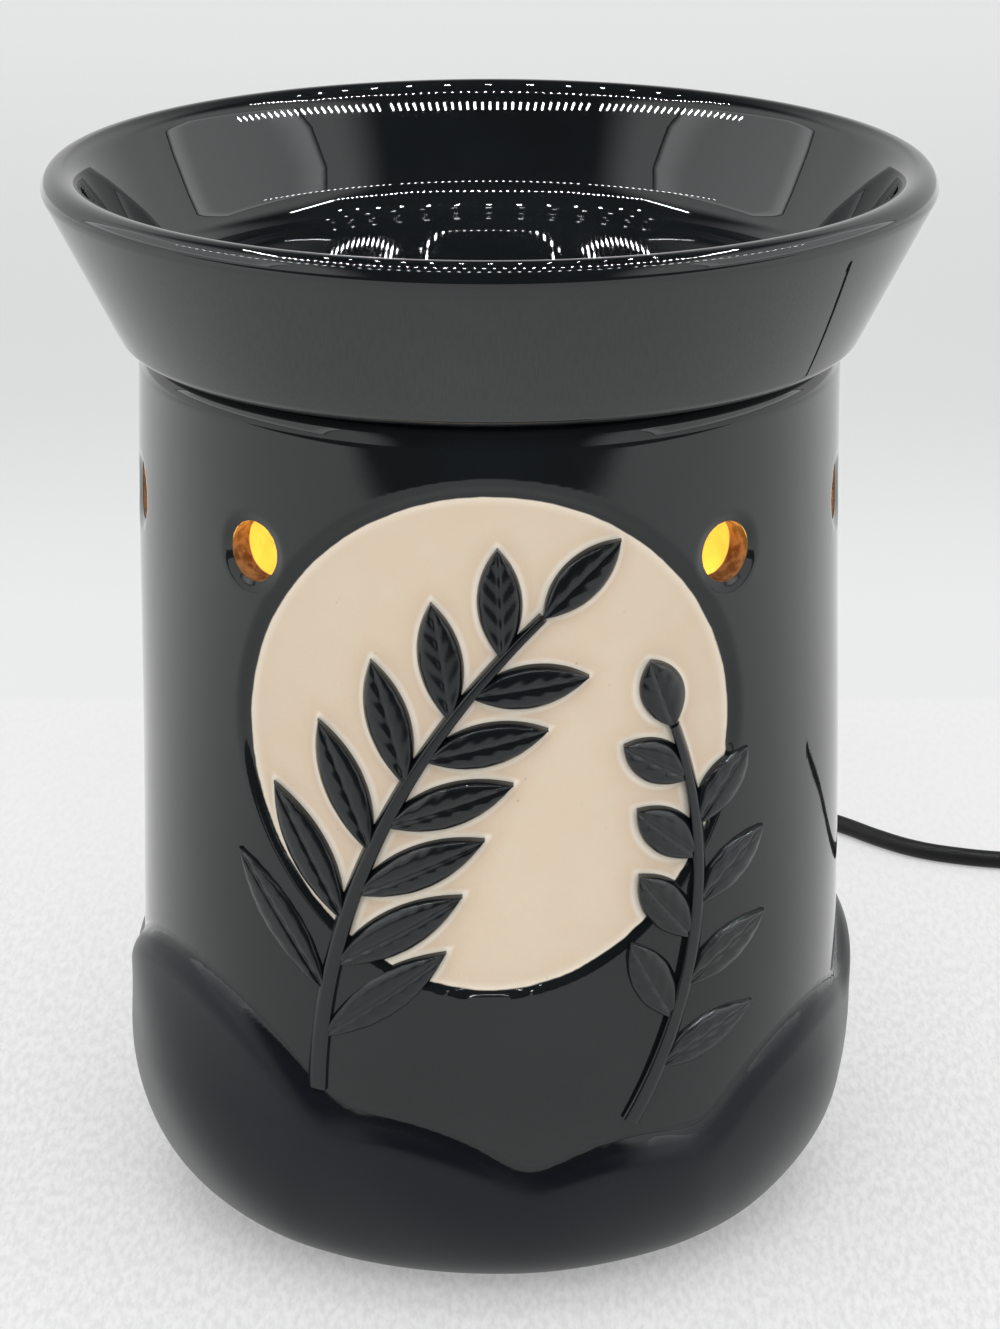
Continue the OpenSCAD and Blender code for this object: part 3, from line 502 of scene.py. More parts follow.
def stem_half_width(share):
    return (STEM_WIDTHS[0] + (STEM_WIDTHS[1] - STEM_WIDTHS[0]) * share) / 2


def leaf_side_radius(length):
    """Radius of the two crossing arcs that bound a leaf."""
    return (length ** 2 + LEAF_W ** 2) / (4 * LEAF_W)


def leaf_half_width(along, length):
    """Half of a leaf's width at a distance along it."""
    side_r = leaf_side_radius(length)
    reach = np.maximum(side_r ** 2 - (along - length / 2) ** 2, 0)
    return np.sqrt(reach) - side_r + LEAF_W / 2


def sprig_distance(x, z):
    """Distance to the nearest leaf or stem seen from the front, below 0 on it."""
    nearest = np.full_like(x, 60)
    for sprig in SPRIGS:
        middle, radius, foot, tip = sprig[:4]
        centre = (foot + tip) / 2
        angle = np.degrees(np.arctan2(z - middle[1], x - middle[0]))
        angle = (angle - centre + 180) % 360 - 180 + centre
        share = np.clip((angle - foot) / (tip - foot), 0, 1)
        turn = np.radians(foot + (tip - foot) * share)
        gap = np.hypot(x - middle[0] - radius * np.cos(turn), z - middle[1] - radius * np.sin(turn))
        nearest = np.minimum(nearest, gap - stem_half_width(share))
        for stalk, direction, length in sprig_leaves(*sprig):
            turn = math.radians(direction)
            along = (x - stalk[0]) * math.cos(turn) + (z - stalk[1]) * math.sin(turn)
            across = np.abs((z - stalk[1]) * math.cos(turn) - (x - stalk[0]) * math.sin(turn))
            side_r = leaf_side_radius(length)
            gap = np.hypot(along - length / 2, across + side_r - LEAF_W / 2) - side_r
            nearest = np.minimum(nearest, gap)
    return nearest


print("hills:", len(HILLS), "leaves:", sum(len(sprig_leaves(*sprig)) for sprig in SPRIGS))

# %% [markdown]
# ## Body mesh
# The light holes are round, but the grid is made of rows and columns. Round each hole the grid lines are
# bent until a square ring of cells lies on the circle, and the cells inside it are left out. The wall
# inside and outside has the same cells there, so a short tube between the two rings lines the hole.

# %% Grid moved by the relief
HOLE_COLUMNS = 10
HOLE_ROWS = 8
HOLE_BLEND = 2.1
CHAMFER_W = 1.4
CHAMFER_DEPTH = 0.5
SHELF_LOW = 0.6
SHELF_HIGH = 1.5
RIDGE_H = 0.16
RIDGE_W = 0.5
WALL_WAVES = (0.09, 0.07)
HILL_WAVE = 0.25
FAR_OFF = 60.0

row_count = len(rows)
column_count = len(azimuths)
turn_grid = np.radians(np.tile(azimuths, (row_count, 1)))
radius_grid = np.tile(rows[:, :1], (1, column_count))
height_grid = np.tile(rows[:, 1:], (1, column_count))
hole_rings = []
hole_cells = np.zeros((row_count, column_count), bool)
hole_gap = np.full((row_count, column_count), FAR_OFF)


def bend_round_hole(middle_row, middle_column, hole_azimuth):
    """Bends the grid round one hole and returns the ring of grid points that lies on its circle."""
    row_offsets = np.arange(-2 * HOLE_ROWS, 2 * HOLE_ROWS + 1)
    column_offsets = np.arange(-2 * HOLE_COLUMNS, 2 * HOLE_COLUMNS + 1)
    window = np.ix_(middle_row + row_offsets, middle_column + column_offsets)
    up, right = np.meshgrid(row_offsets / HOLE_ROWS, column_offsets / HOLE_COLUMNS, indexing="ij")
    if rows[middle_row + 1, 1] < rows[middle_row, 1]:
        up = -up
    ring = np.maximum(np.abs(up), np.abs(right))
    angle = np.arctan2(up, right)
    radius = radius_grid[window]
    aside = radius * np.sin(turn_grid[window] - math.radians(hole_azimuth))
    rise = height_grid[window] - HOLE_Z
    share = smooth(ring, 1, HOLE_BLEND)
    aside = HOLE_R * ring * np.cos(angle) * (1 - share) + aside * share
    rise = HOLE_R * ring * np.sin(angle) * (1 - share) + rise * share
    turn_grid[window] = math.radians(hole_azimuth) + np.arcsin(aside / radius)
    height_grid[window] = HOLE_Z + rise
    hole_gap[window] = np.hypot(aside, rise) - HOLE_R
    low, high = middle_row - HOLE_ROWS, middle_row + HOLE_ROWS
    west, east = middle_column - HOLE_COLUMNS, middle_column + HOLE_COLUMNS
    hole_cells[low:high, west:east] = True
    edge = [(low, c) for c in range(west, east)] + [(r, east) for r in range(low, high)]
    return edge + [(high, c) for c in range(east, west, -1)] + [(r, west) for r in range(high, low, -1)]


hole_row_out = int(np.argmin(np.abs(rows[:outer_count, 1] - HOLE_Z)))
hole_row_in = outer_count + int(np.argmin(np.abs(rows[outer_count:, 1] - HOLE_Z)))
for hole in HOLE_AZIMUTHS:
    column = int(np.argmin(np.abs(azimuths - hole)))
    hole_rings.append(bend_round_hole(hole_row_out, column, hole))
    bend_round_hole(hole_row_in, column, hole)

front_x = radius_grid * np.sin(turn_grid)
facing_front = np.cos(turn_grid) > 0.3
medallion_gap = medallion_distance(front_x, height_grid, facing_front)
sprig_gap = np.where(facing_front, sprig_distance(front_x, height_grid), FAR_OFF)
hill_height, hill_gap = hill_heights(np.degrees(turn_grid), radius_grid, height_grid)

medallion_turn = np.arctan2((height_grid - MEDALLION_Z) / MEDALLION_HALF_H, front_x / MEDALLION_HALF_W)
shelf = SHELF_LOW + SHELF_HIGH * (0.5 + 0.5 * np.sin(medallion_turn))
sunk = -MEDALLION_DEPTH * (1 - smooth(medallion_gap, -0.3, shelf))
ridge = RIDGE_H * np.exp(-((sprig_gap - RIDGE_W) / RIDGE_W) ** 2) * (medallion_gap < 0)
lip_drop = -CHAMFER_DEPTH * np.clip(1 - hole_gap / CHAMFER_W, 0, 1)
wave = WALL_WAVES[0] * np.sin(3 * turn_grid + height_grid / 17)
wave += WALL_WAVES[1] * np.sin(5 * turn_grid - height_grid / 11)
on_hill = smooth(hill_gap, -0.5, 1.5)
hill_part = hill_height + on_hill * HILL_WAVE * np.sin(9 * turn_grid + height_grid / 6)
plain = sunk + ridge + wave
relief = np.where(hill_gap > -0.4, np.maximum(plain, hill_part), plain)

rising = np.sin(np.linspace(0, math.pi / 2, len(low_rows)))
fading = np.linspace(1, 0, len(shoulder_rows))
weight = np.concatenate([[0, 0], rising, np.ones(len(wall_rows)), fading, np.zeros(len(inner_rows))])
outside = np.arange(row_count)[:, None] < outer_count
radius_grid = radius_grid + (relief + lip_drop) * weight[:, None]
print("medallion points:", int((medallion_gap < 0).sum()))
print("hill points:", int(((hill_gap > 0) & outside).sum()))

# %% Faces of the body
TUBE_SHARES = (0.08, 0.3, 0.65, 0.93)


def place(turn, radius, z):
    """Points at an azimuth from the front, in metres."""
    return np.stack([radius * np.sin(turn), -radius * np.cos(turn), z], axis=-1) * MM


def bridge(levels):
    """Faces between rings of point numbers, each with the next. A point that comes twice counts once."""
    faces = []
    for low, high in zip(levels, levels[1:]):
        for i in range(len(low)):
            after = (i + 1) % len(low)
            faces.append(tuple(dict.fromkeys((low[i], low[after], high[after], high[i]))))
    return faces


def mesh_object(name, points, faces):
    data = bpy.data.meshes.new(name)
    data.from_pydata(np.asarray(points).reshape(-1, 3).tolist(), [], faces)
    data.validate()
    return put(name, data)


def smooth_shade(piece, sharp_angle):
    """Smooth shading that keeps edges over an angle sharp."""
    piece.data.shade_smooth()
    piece.data.set_sharp_from_angle(angle=math.radians(sharp_angle))


def point_values(piece, name, values):
    """Stores one number for each point, for the material to read."""
    layer = piece.data.attributes.new(name, "FLOAT", "POINT")
    layer.data.foreach_set("value", np.asarray(values, dtype=np.float32).ravel())


body_points = place(turn_grid, radius_grid, height_grid).reshape(-1, 3)
numbers = np.arange(row_count * column_count).reshape(row_count, column_count).tolist()
grid_faces = bridge(numbers + numbers[:1])
body_faces = [face for face, cut in zip(grid_faces, hole_cells.ravel()) if not cut]
tube_points = []
for ring in hole_rings:
    out_index = [numbers[r][c] for r, c in ring]
    in_index = [numbers[hole_row_in - (r - hole_row_out)][c] for r, c in ring]
    levels = [out_index]
    for share in TUBE_SHARES:
        first = len(body_points) + len(tube_points)
        tube_points += list(body_points[out_index] * (1 - share) + body_points[in_index] * share)
        levels.append(list(range(first, first + len(out_index))))
    body_faces += bridge(levels + [in_index])
body = mesh_object("ceramic_body", np.vstack([body_points, np.array(tube_points)]), body_faces)
for name, grid, tube_value in (
    ("medallion", np.clip(medallion_gap, -6, 6), 6),
    ("hill", np.where(outside, np.clip(hill_gap, -8, 8), -8), -8),
    ("sprig", np.clip(sprig_gap, -1, 5), 5),
    ("bare", np.where(outside, 0, 1) * np.ones_like(hill_gap), 1),
    ("hole_wall", np.zeros_like(hill_gap), 1),
):
    point_values(body, name, np.concatenate([grid.ravel(), np.full(len(tube_points), tube_value)]))
smooth_shade(body, 40)
stand_in(body, "body_shell")
print("body faces:", len(body.data.polygons))

# %% [markdown]
# ## Leaf sprigs
# Two sprigs grow across the medallion in raised black glaze. On a casting they are part of the mould, but a
# leaf has a finer outline than the body's grid can follow. Each leaf is therefore its own loft: a ring of
# points that widens and narrows along the leaf, laid on the wall, with a groove for the midrib and fine
# veins. The edges reach below the medallion's floor, so no gap shows.

# %% Leaves and stems laid on the wall
LEAF_STEPS = 48
ACROSS = (0, 0.07, 0.14, 0.22, 0.34, 0.48, 0.62, 0.75, 0.86, 0.94, 0.985, 1)
EDGE_SINK = -1.15
UNDER_SINK = -1.5
UNDER_EDGE = 0.6
LEAF_PROUD = 0.8
TIP_WIDTH = 0.12
MIDRIB_DEPTH = 0.26
MIDRIB_W = 0.34
VEIN_DEPTH = 0.05
VEIN_STEP = 2.8
VEIN_SLANT = 1.3


def wall_point(x, z, offset):
    """A point of the front wall, seen from the front, moved outwards by an offset."""
    radius = wall_radius(z) + offset
    return (x * MM, -math.sqrt(radius ** 2 - x ** 2) * MM, z * MM)


def raised_height(across, vein):
    """Height over the wall across a leaf or stem, from -1 at one edge to 1 at the other."""
    crown = math.sqrt(max(0, 1 - abs(across) ** 5))
    return EDGE_SINK + (LEAF_PROUD - EDGE_SINK - vein) * crown


def loft(rings, points, faces):
    """Adds a closed tube through rings of points of the same length."""
    first = len(points)
    size = len(rings[0])
    for ring in rings:
        points.extend(ring)
    last = len(points) - size
    for low in range(first, last, size):
        high = low + size
        for i in range(size):
            after = (i + 1) % size
            faces.append((low + i, high + i, high + after, low + after))
    faces.append(tuple(range(first, first + size)))
    faces.append(tuple(range(last + size - 1, last - 1, -1)))


def raised_ring(middle, direction, half_width, veins):
    """Ring across a leaf or a stem: over the top from edge to edge, and back underneath."""

    def at(across, offset):
        aside = half_width * across
        x = middle[0] - math.sin(direction) * aside
        return wall_point(x, middle[1] + math.cos(direction) * aside, offset)

    over = [-share for share in ACROSS[:0:-1]] + list(ACROSS)
    ring = [at(across, raised_height(across, veins(half_width * across))) for across in over]
    return ring + [at(UNDER_EDGE, UNDER_SINK), at(-UNDER_EDGE, UNDER_SINK)]


def leaf_rings(stalk, angle, length):
    direction = math.radians(angle)
    rings = []
    for i in range(LEAF_STEPS + 1):
        along = length * (0.5 - 0.5 * math.cos(math.pi * i / LEAF_STEPS))
        half_width = max(float(leaf_half_width(along, length)), TIP_WIDTH)
        middle = (stalk[0] + along * math.cos(direction), stalk[1] + along * math.sin(direction))

        def veins(aside, along=along):
            midrib = MIDRIB_DEPTH * math.exp(-((aside / MIDRIB_W) ** 2))
            phase = 2 * math.pi * (along - VEIN_SLANT * abs(aside)) / VEIN_STEP
            return midrib + VEIN_DEPTH + VEIN_DEPTH * math.cos(phase)

        rings.append(raised_ring(middle, direction, half_width, veins))
    return rings


def stem_rings(middle, radius, foot, tip):
    rings = []
    turn = math.pi / 2 if tip > foot else -math.pi / 2
    for i in range(LEAF_STEPS + 1):
        share = i / LEAF_STEPS
        angle = foot + (tip - foot) * share
        spot = circle_point(middle, radius, angle)
        direction = math.radians(angle) + turn
        rings.append(raised_ring(spot, direction, stem_half_width(share), lambda aside: 0))
    return rings


sprig_points = []
sprig_faces = []
for sprig in SPRIGS:
    loft(stem_rings(*sprig[:4]), sprig_points, sprig_faces)
    for leaf in sprig_leaves(*sprig):
        loft(leaf_rings(*leaf), sprig_points, sprig_faces)
sprigs = mesh_object("leaf_sprigs", sprig_points, sprig_faces)
smooth_shade(sprigs, 60)
stand_in(sprigs, "body_shell")
print("sprig faces:", len(sprig_faces))

# %% [markdown]
# ## Dish
# The dish is thrown or cast round, so its outline turned about the axis gives it. It is turned in fine
# steps, because a glossy wall shows every flat facet in its reflections. Outside it follows the CAD solid.
# Inside the lip is rounder and the wall about 1 mm thicker, as the photograph's broad lip shows.

# %% Turned outline of the dish
DISH_SEGMENTS = 256
DISH_Z = 126.25
LIP_MID = np.array((58.8, 147.9))
LIP_R = 2.2
LIP_IN_R = 3.8
EDGE_MID = np.array((48.5, 129.25))
EDGE_R = 3.0
BOWL_FILLET_R = 7.0
BOWL_Z = 132.8
DISH_WALL = 4.0
LOCATOR_R = 43.3
LOCATOR_H = 4.0


def between(start, end, shares):
    """Points at shares of the straight line between two points."""
    return [tuple(np.array(start) + (np.array(end) - np.array(start)) * share) for share in shares]


def turned(name, outline, segments):
    """Turns an outline of radius and height about the axis. Points on the axis become one point."""
    turns = [2 * math.pi * i / segments for i in range(segments)]
    points = []
    levels = []
    for radius, z in outline:
        first = len(points)
        if radius < 1e-6:
            points.append((0, 0, z * MM))
            levels.append([first] * segments)
        else:
            points += [(radius * math.sin(t) * MM, -radius * math.cos(t) * MM, z * MM) for t in turns]
            levels.append(list(range(first, first + segments)))
    return mesh_object(name, points, bridge(levels))


slant = LIP_MID - EDGE_MID
slant_length = float(np.hypot(*slant))
flare_normal = math.degrees(math.atan2(slant[1], slant[0]) - math.acos((EDGE_R - LIP_R) / slant_length))
normal_x = math.cos(math.radians(flare_normal))
normal_z = math.sin(math.radians(flare_normal))
lip_inner = LIP_MID - (0, LIP_IN_R - LIP_R)
bowl_wall = lip_inner[0] * normal_x + lip_inner[1] * normal_z - LIP_IN_R - BOWL_FILLET_R
bowl_mid_z = BOWL_Z + BOWL_FILLET_R
bowl_mid = ((bowl_wall - bowl_mid_z * normal_z) / normal_x, bowl_mid_z)
under_z = BOWL_Z - DISH_WALL
locator_in_r = LOCATOR_R - DISH_WALL
locator_low_z = DISH_Z - LOCATOR_H
dish_outline = [(0, under_z), (20, under_z), (locator_in_r - 0.8, under_z), (locator_in_r, under_z - 0.8)]
dish_outline += [(locator_in_r, locator_low_z + 0.5), (locator_in_r + 0.5, locator_low_z)]
dish_outline += [(LOCATOR_R - 0.5, locator_low_z), (LOCATOR_R, locator_low_z + 0.5)]
dish_outline += [(LOCATOR_R, DISH_Z - 0.4), (LOCATOR_R + 0.4, DISH_Z)]
dish_outline += arc_points(EDGE_MID, EDGE_R, -90, flare_normal, 14)
lip_arc = arc_points(LIP_MID, LIP_R, flare_normal, 90, 18)
lip_arc += arc_points(lip_inner, LIP_IN_R, 90, flare_normal + 180, 20)[1:]
fillet = arc_points(bowl_mid, BOWL_FILLET_R, flare_normal, -90, 20)
dish_outline += between(dish_outline[-1], lip_arc[0], (0.15, 0.3, 0.45, 0.6, 0.75, 0.9)) + lip_arc
dish_outline += between(lip_arc[-1], fillet[0], (0.25, 0.5, 0.75)) + fillet
dish_outline += [(radius, BOWL_Z) for radius in (36, 24, 12, 0)]
dish = turned("wax_dish", dish_outline, DISH_SEGMENTS)
smooth_shade(dish, 50)
stand_in(dish, "dish")
print("dish outline points:", len(dish_outline), "wall slants", round(90 + flare_normal, 1), "degrees")

# %% [markdown]
# ## Smaller pieces
# The plate, screws, holder, switch and plug are moulded or stamped, and none of them has a razor edge. Their
# CAD solids have the right shapes, so each is copied into a new mesh, its flat triangles are joined and its
# hard edges get a small bevel that catches light. The copy stands in for its solid.

# %% Softened copies of the solids
HARD_ANGLE = math.radians(32)


def softened(node, name, width):
    """Copies a solid, joins its flat faces and rounds its hard edges by a width in millimetres."""
    shape = bmesh.new()
    shape.from_mesh(nodes[node].data)
    bmesh.ops.remove_doubles(shape, verts=shape.verts, dist=0.002 * MM)
    bmesh.ops.dissolve_limit(shape, angle_limit=math.radians(0.5), verts=shape.verts, edges=shape.edges)
    hard = [e for e in shape.edges if e.is_manifold and e.calc_face_angle(0) > HARD_ANGLE]
    bmesh.ops.bevel(
        shape, geom=hard, offset=width * MM, offset_type="OFFSET", segments=2, profile=0.6, affect="EDGES",
        clamp_overlap=True,
    )
    bmesh.ops.recalc_face_normals(shape, faces=shape.faces)
    data = bpy.data.meshes.new(name)
    shape.to_mesh(data)
    shape.free()
    made = put(name, data)
    smooth_shade(made, 28)
    stand_in(made, node)
    return made


SOFTENED = [
    ("base_plate", "bottom_plate", 0.3), ("plate_clips", "clamp_tabs", 0.2),
    ("plate_screws", "pan_screws", 0.2), ("rubber_feet", "feet", 0.6),
    ("holder_housing", "lamp_holder", 0.4), ("centre_contact", "contact_tongue", 0.1),
    ("terminal_screws", "wire_screws", 0.2), ("holder_nipple", "hollow_stud", 0.2),
    ("lock_nut", "stud_nut", 0.3), ("bulb_insulator", "cap_insulator", 0.4),
    ("bulb_tip", "cap_tip", 0.4), ("cord_boot", "cord_sleeve", 0.3),
    ("switch_base", "switch_lower_shell", 0.5), ("switch_cover", "switch_upper_shell", 0.5),
    ("switch_rocker", "rocker", 0.5), ("switch_contacts", "switch_leaves", 0.1),
    ("switch_screws", "shell_screws", 0.15), ("coil_tie", "wire_tie", 0.2),
    ("plug_body", "plug_block", 0.6), ("plug_blades", "blades", 0.25),
]
small = {node: softened(node, name, width) for node, name, width in SOFTENED}
print("softened pieces:", len(small))

# %% [markdown]
# ## Threads and filament
# The bulb's cap and the shell that takes it are rolled from thin sheet, and both show a round thread. In the
# CAD model they are plain tubes. A grid that waves in and out along a helix gives the rolled thread, and
# the cap's crests stay inside the shell's, so the bulb can turn freely. The filament is a fine coil hung
# in a half ring between its supports.

# %% Rolled threads
THREAD_PITCH = 3.63
THREAD_STEPS = 72
THREAD_ROWS = 70
CAP_LOW_Z, CAP_TOP_Z = 15.6, 38.1
CAP_THREAD_END, CAP_PLAIN_Z = 31, 33.5
CAP_FOOT = 1.5
CAP_TAPER = 1.1
CAP_R = 12.84
CAP_SHEET = 0.35
CAP_WAVE = 0.26
SHELL_LOW_Z, SHELL_TOP_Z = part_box("screw_shell")[0][2] / MM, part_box("screw_shell")[1][2] / MM
SHELL_R = 13.86
SHELL_SHEET = 0.22
SHELL_WAVE = 0.12


def rolled_tube(name, heights, radius_at, sheet):
    """A tube of thin sheet with a closed edge at both ends, its radius given by height and turn."""
    turns = np.linspace(0, 2 * math.pi, THREAD_STEPS, endpoint=False)
    levels = [place(turns, radius_at(z, turns), np.full(THREAD_STEPS, z)) for z in heights]
    levels += [place(turns, radius_at(z, turns) - sheet, np.full(THREAD_STEPS, z)) for z in heights[::-1]]
    numbers = np.arange(len(levels) * THREAD_STEPS).reshape(-1, THREAD_STEPS).tolist()
    made = mesh_object(name, np.concatenate(levels), bridge(numbers + numbers[:1]))
    smooth_shade(made, 50)
    return made


def thread_wave(z, turns, low_z, end_z, plain_z, depth):
    """In and out of a thread that starts over low_z and dies out from end_z to plain_z."""
    share = float(smooth(z, low_z + 1, low_z + 3) * (1 - smooth(z, end_z, plain_z)))
    return depth * share * np.cos(2 * math.pi * z / THREAD_PITCH - turns)


def cap_radius(z, turns):
    taper = CAP_TAPER * (1 - float(smooth(z, CAP_LOW_Z, CAP_LOW_Z + CAP_FOOT)))
    return CAP_R - taper + thread_wave(z, turns, CAP_LOW_Z, CAP_THREAD_END, CAP_PLAIN_Z, CAP_WAVE)


def shell_radius(z, turns):
    return SHELL_R + thread_wave(z, turns, SHELL_LOW_Z, SHELL_TOP_Z - 2, SHELL_TOP_Z - 0.5, SHELL_WAVE)


cap = rolled_tube("threaded_cap", np.linspace(CAP_LOW_Z, CAP_TOP_Z, THREAD_ROWS), cap_radius, CAP_SHEET)
shell_heights = np.linspace(SHELL_LOW_Z, SHELL_TOP_Z, THREAD_ROWS)
shell = rolled_tube("threaded_shell", shell_heights, shell_radius, SHELL_SHEET)
stand_in(cap, "bulb_cap")
stand_in(shell, "screw_shell")
print("thread pitch:", THREAD_PITCH, "mm")

# %% Coiled filament
FILAMENT_R = 9.0
FILAMENT_Z = 68.2
FILAMENT_TURNS = 48
COIL_R = 0.26
WIRE_R = 0.08
POINTS_EACH_TURN = 10

filament_data = new_curve("glow_wire", 2)
filament_line = filament_data.splines.new("POLY")
filament_count = FILAMENT_TURNS * POINTS_EACH_TURN
filament_line.points.add(filament_count)
for i in range(filament_count + 1):
    along = math.pi * i / filament_count
    wind = 2 * math.pi * i / POINTS_EACH_TURN
    reach = FILAMENT_R + COIL_R * math.cos(wind)
    spot = (reach * math.cos(along), reach * math.sin(along), FILAMENT_Z + COIL_R * math.sin(wind))
    filament_line.points[i].co = [value * MM for value in spot] + [1]
    filament_line.points[i].radius = WIRE_R * MM
filament = put("glow_wire", filament_data)
stand_in(filament, "bulb_filament")
print("filament turns:", FILAMENT_TURNS)

# %% [markdown]
# ## Switch and plug pieces
# The lead is two free cords. One runs from the sleeve to the switch, the other from the switch through
# the coil to the plug. The pieces of the switch and of the plug are gathered here.


bpy.context.view_layer.update()
switch_nodes = ("switch_base", "switch_cover", "switch_rocker", "switch_contacts", "switch_screws")
switch_pieces = [small[node] for node in switch_nodes]
plug_pieces = [small[node] for node in ("coil_tie", "plug_body", "plug_blades")]

# %% [markdown]
# ## Finishes
# The warmer has few finishes, and each is seen close up. The glaze is a clear glass layer over black, so its
# shine comes from the shader's own Fresnel and its slight waves from a bump. The medallion is bare fired
# clay, matte and speckled. Attributes on the body's mesh tell the material which is where, and a little
# noise makes the painted edges uneven, as a brush does.

# %% Start of a material


def fill(finish, **values):
    """Feeds inputs of a material's shader by name, with _ for a space."""
    set_inputs(finish.node_tree.nodes["Principled BSDF"], values)


def start_material(name, **values):
    """A new material with plain values on its shader, and its node tree."""
    made = bpy.data.materials.new(name)
    made.use_nodes = True
    fill(made, **values)
    return made, made.node_tree


def patchy(name, group, scale, colours, gloss, depth, high=0.75, **values):
    """A finish from a shared effect: soft patches of two colours and two roughnesses, and a fine relief."""
    made, tree = start_material(name, **values)
    surface = use_group(tree, group, Scale=scale)
    colour = blend(surface["Tone"], 0.35, 0.7, *colours)
    rough = remap(surface["Tone"], 0.3, high, *gloss)
    fill(made, Base_Color=colour, Roughness=rough, Normal=bump(surface["Height"], depth))
    return made


def wear(piece, finish):
    """Gives a piece one material."""
    piece.data.materials.clear()
    piece.data.materials.append(finish)


BLACK = (0, 0, 0, 1)
BLACK_GLAZE = (0.0055, 0.0068, 0.0075, 1)
CLOUDY_GLAZE = (0.0085, 0.0105, 0.0115, 1)
SATIN_GLAZE = (0.0040, 0.0050, 0.0085, 1)
BISQUE = (0.70, 0.585, 0.445, 1)
BISQUE_PINK = (0.66, 0.515, 0.385, 1)
# BISQUE_PALE is also the colour of the painted highlight along the ridges beside the sprigs.
BISQUE_PALE = (0.82, 0.75, 0.64, 1)
BISQUE_SPECK = (0.38, 0.29, 0.21, 1)
CLAY = (0.62, 0.47, 0.30, 1)
CLAY_DARK = (0.48, 0.33, 0.19, 1)
# The hole walls' clay colours hold painted warm lamplight and painted shade: the same clay as inside, made
# darker and oranger.
LAMPLIT_HOLE_CLAY = (0.42, 0.20, 0.07, 1)
LAMPLIT_HOLE_CLAY_DARK = (0.20, 0.075, 0.02, 1)
print("glaze and clay colours set")

# %% Glaze and clay of the body
ceramic, tree = start_material(
    "glazed_ceramic", IOR=1.5, Specular_IOR_Level=0.28, Coat_IOR=1.5, Coat_Roughness=0.035
)
glaze = use_group(tree, glaze_group, Scale=55.0)
clay = use_group(tree, clay_group, Scale=1500.0)
brush = combine("MULTIPLY", noise(places(tree), 260, 2), 0.30)
medallion = attribute(tree, "medallion")
in_medallion = remap(combine("ADD", medallion, brush), -0.20, 0.02, 1, 0)
on_hills = remap(combine("ADD", attribute(tree, "hill"), brush), -0.5, 1.2)
is_bare = attribute(tree, "bare")
sprig_near = attribute(tree, "sprig")
# The pale line beside the sprigs is a painted highlight on the raised ridge there.
ridge_highlight = remap(sprig_near, 0.25, 0.95, 1, 0)
pink_hollow = remap(sprig_near, 0.8, 3.2, 0.55, 0)
edge_line = combine("MULTIPLY", remap(medallion, -1.5, -0.3), 0.6)

black = blend(glaze["Tone"], 0.35, 0.7, BLACK_GLAZE, CLOUDY_GLAZE)
black = mix_colour(on_hills, black, SATIN_GLAZE)
bisque = mix_colour(remap(clay["Tone"], 0.3, 0.75, 0, 0.5), BISQUE, BISQUE_PINK)
bisque = mix_colour(pink_hollow, bisque, BISQUE_PINK)
bisque = mix_colour(combine("MAXIMUM", ridge_highlight, edge_line), bisque, BISQUE_PALE)
bisque = mix_colour(combine("MULTIPLY", clay["Speckle"], 0.55), bisque, BISQUE_SPECK)
inside = blend(clay["Tone"], 0.35, 0.7, CLAY, CLAY_DARK)
# Painted light: the walls of the light holes get a darker, oranger clay than the rest of the inside, for the
# bulb's warm light and the shade in the holes.
lamplit_hole_clay = blend(noise(places(tree), 700, 3), 0.38, 0.62, LAMPLIT_HOLE_CLAY, LAMPLIT_HOLE_CLAY_DARK)
inside = mix_colour(attribute(tree, "hole_wall"), inside, lamplit_hole_clay)
painted = mix_colour(in_medallion, black, bisque)
gloss = mix_value(on_hills, remap(glaze["Tone"], 0.3, 0.7, 0.035, 0.075), 0.30)
dull = combine("MAXIMUM", in_medallion, is_bare)
unglazed = combine("MAXIMUM", dull, on_hills)
grain = combine("MULTIPLY", clay["Height"], dull)
skin = add(tree, "Bump", Height=grain, Distance=0.05 * MM, Normal=bump(glaze["Height"], 0.05))
fill(
    ceramic, Base_Color=mix_colour(is_bare, painted, inside), Normal=skin.outputs["Normal"],
    Roughness=mix_value(dull, gloss, 0.82), Coat_Weight=mix_value(unglazed, 0.5, 0.0),
)
wear(body, ceramic)
print("material:", ceramic.name)

# %% Plain glaze of the dish and the sprigs
dish_tones = (BLACK_GLAZE, CLOUDY_GLAZE)
sprig_tones = (BLACK_GLAZE, SATIN_GLAZE)
wear(dish, patchy("dish_glaze", glaze_group, 45.0, dish_tones, (0.008, 0.018), 0.012, high=0.7, IOR=1.6))
wear(sprigs, patchy("sprig_glaze", glaze_group, 90.0, sprig_tones, (0.16, 0.26), 0.05, high=0.7, IOR=1.52))
print("glazes:", [finish.name for finish in bpy.data.materials if "glaze" in finish.name])

# %% [markdown]
# ## Metal, rubber and plastic
# Plated steel shows faint rolling lines and cloudy patches, brass darkens unevenly, and moulded plastic
# and rubber have a fine grain with slightly shinier spots where hands have touched them. The same two
# groups serve all of them, with other scales and colours.

# %% Finishes of the small parts


def metal(name, bright, dull, rough, lines):
    return patchy(name, metal_group, lines, (bright, dull), (rough, rough + 0.18), 0.02, Metallic=1.0)


def moulded(name, base, worn, rough, grain, depth, ior=1.5):
    return patchy(name, moulded_group, grain, (base, worn), (rough, rough + 0.14), depth, IOR=ior)


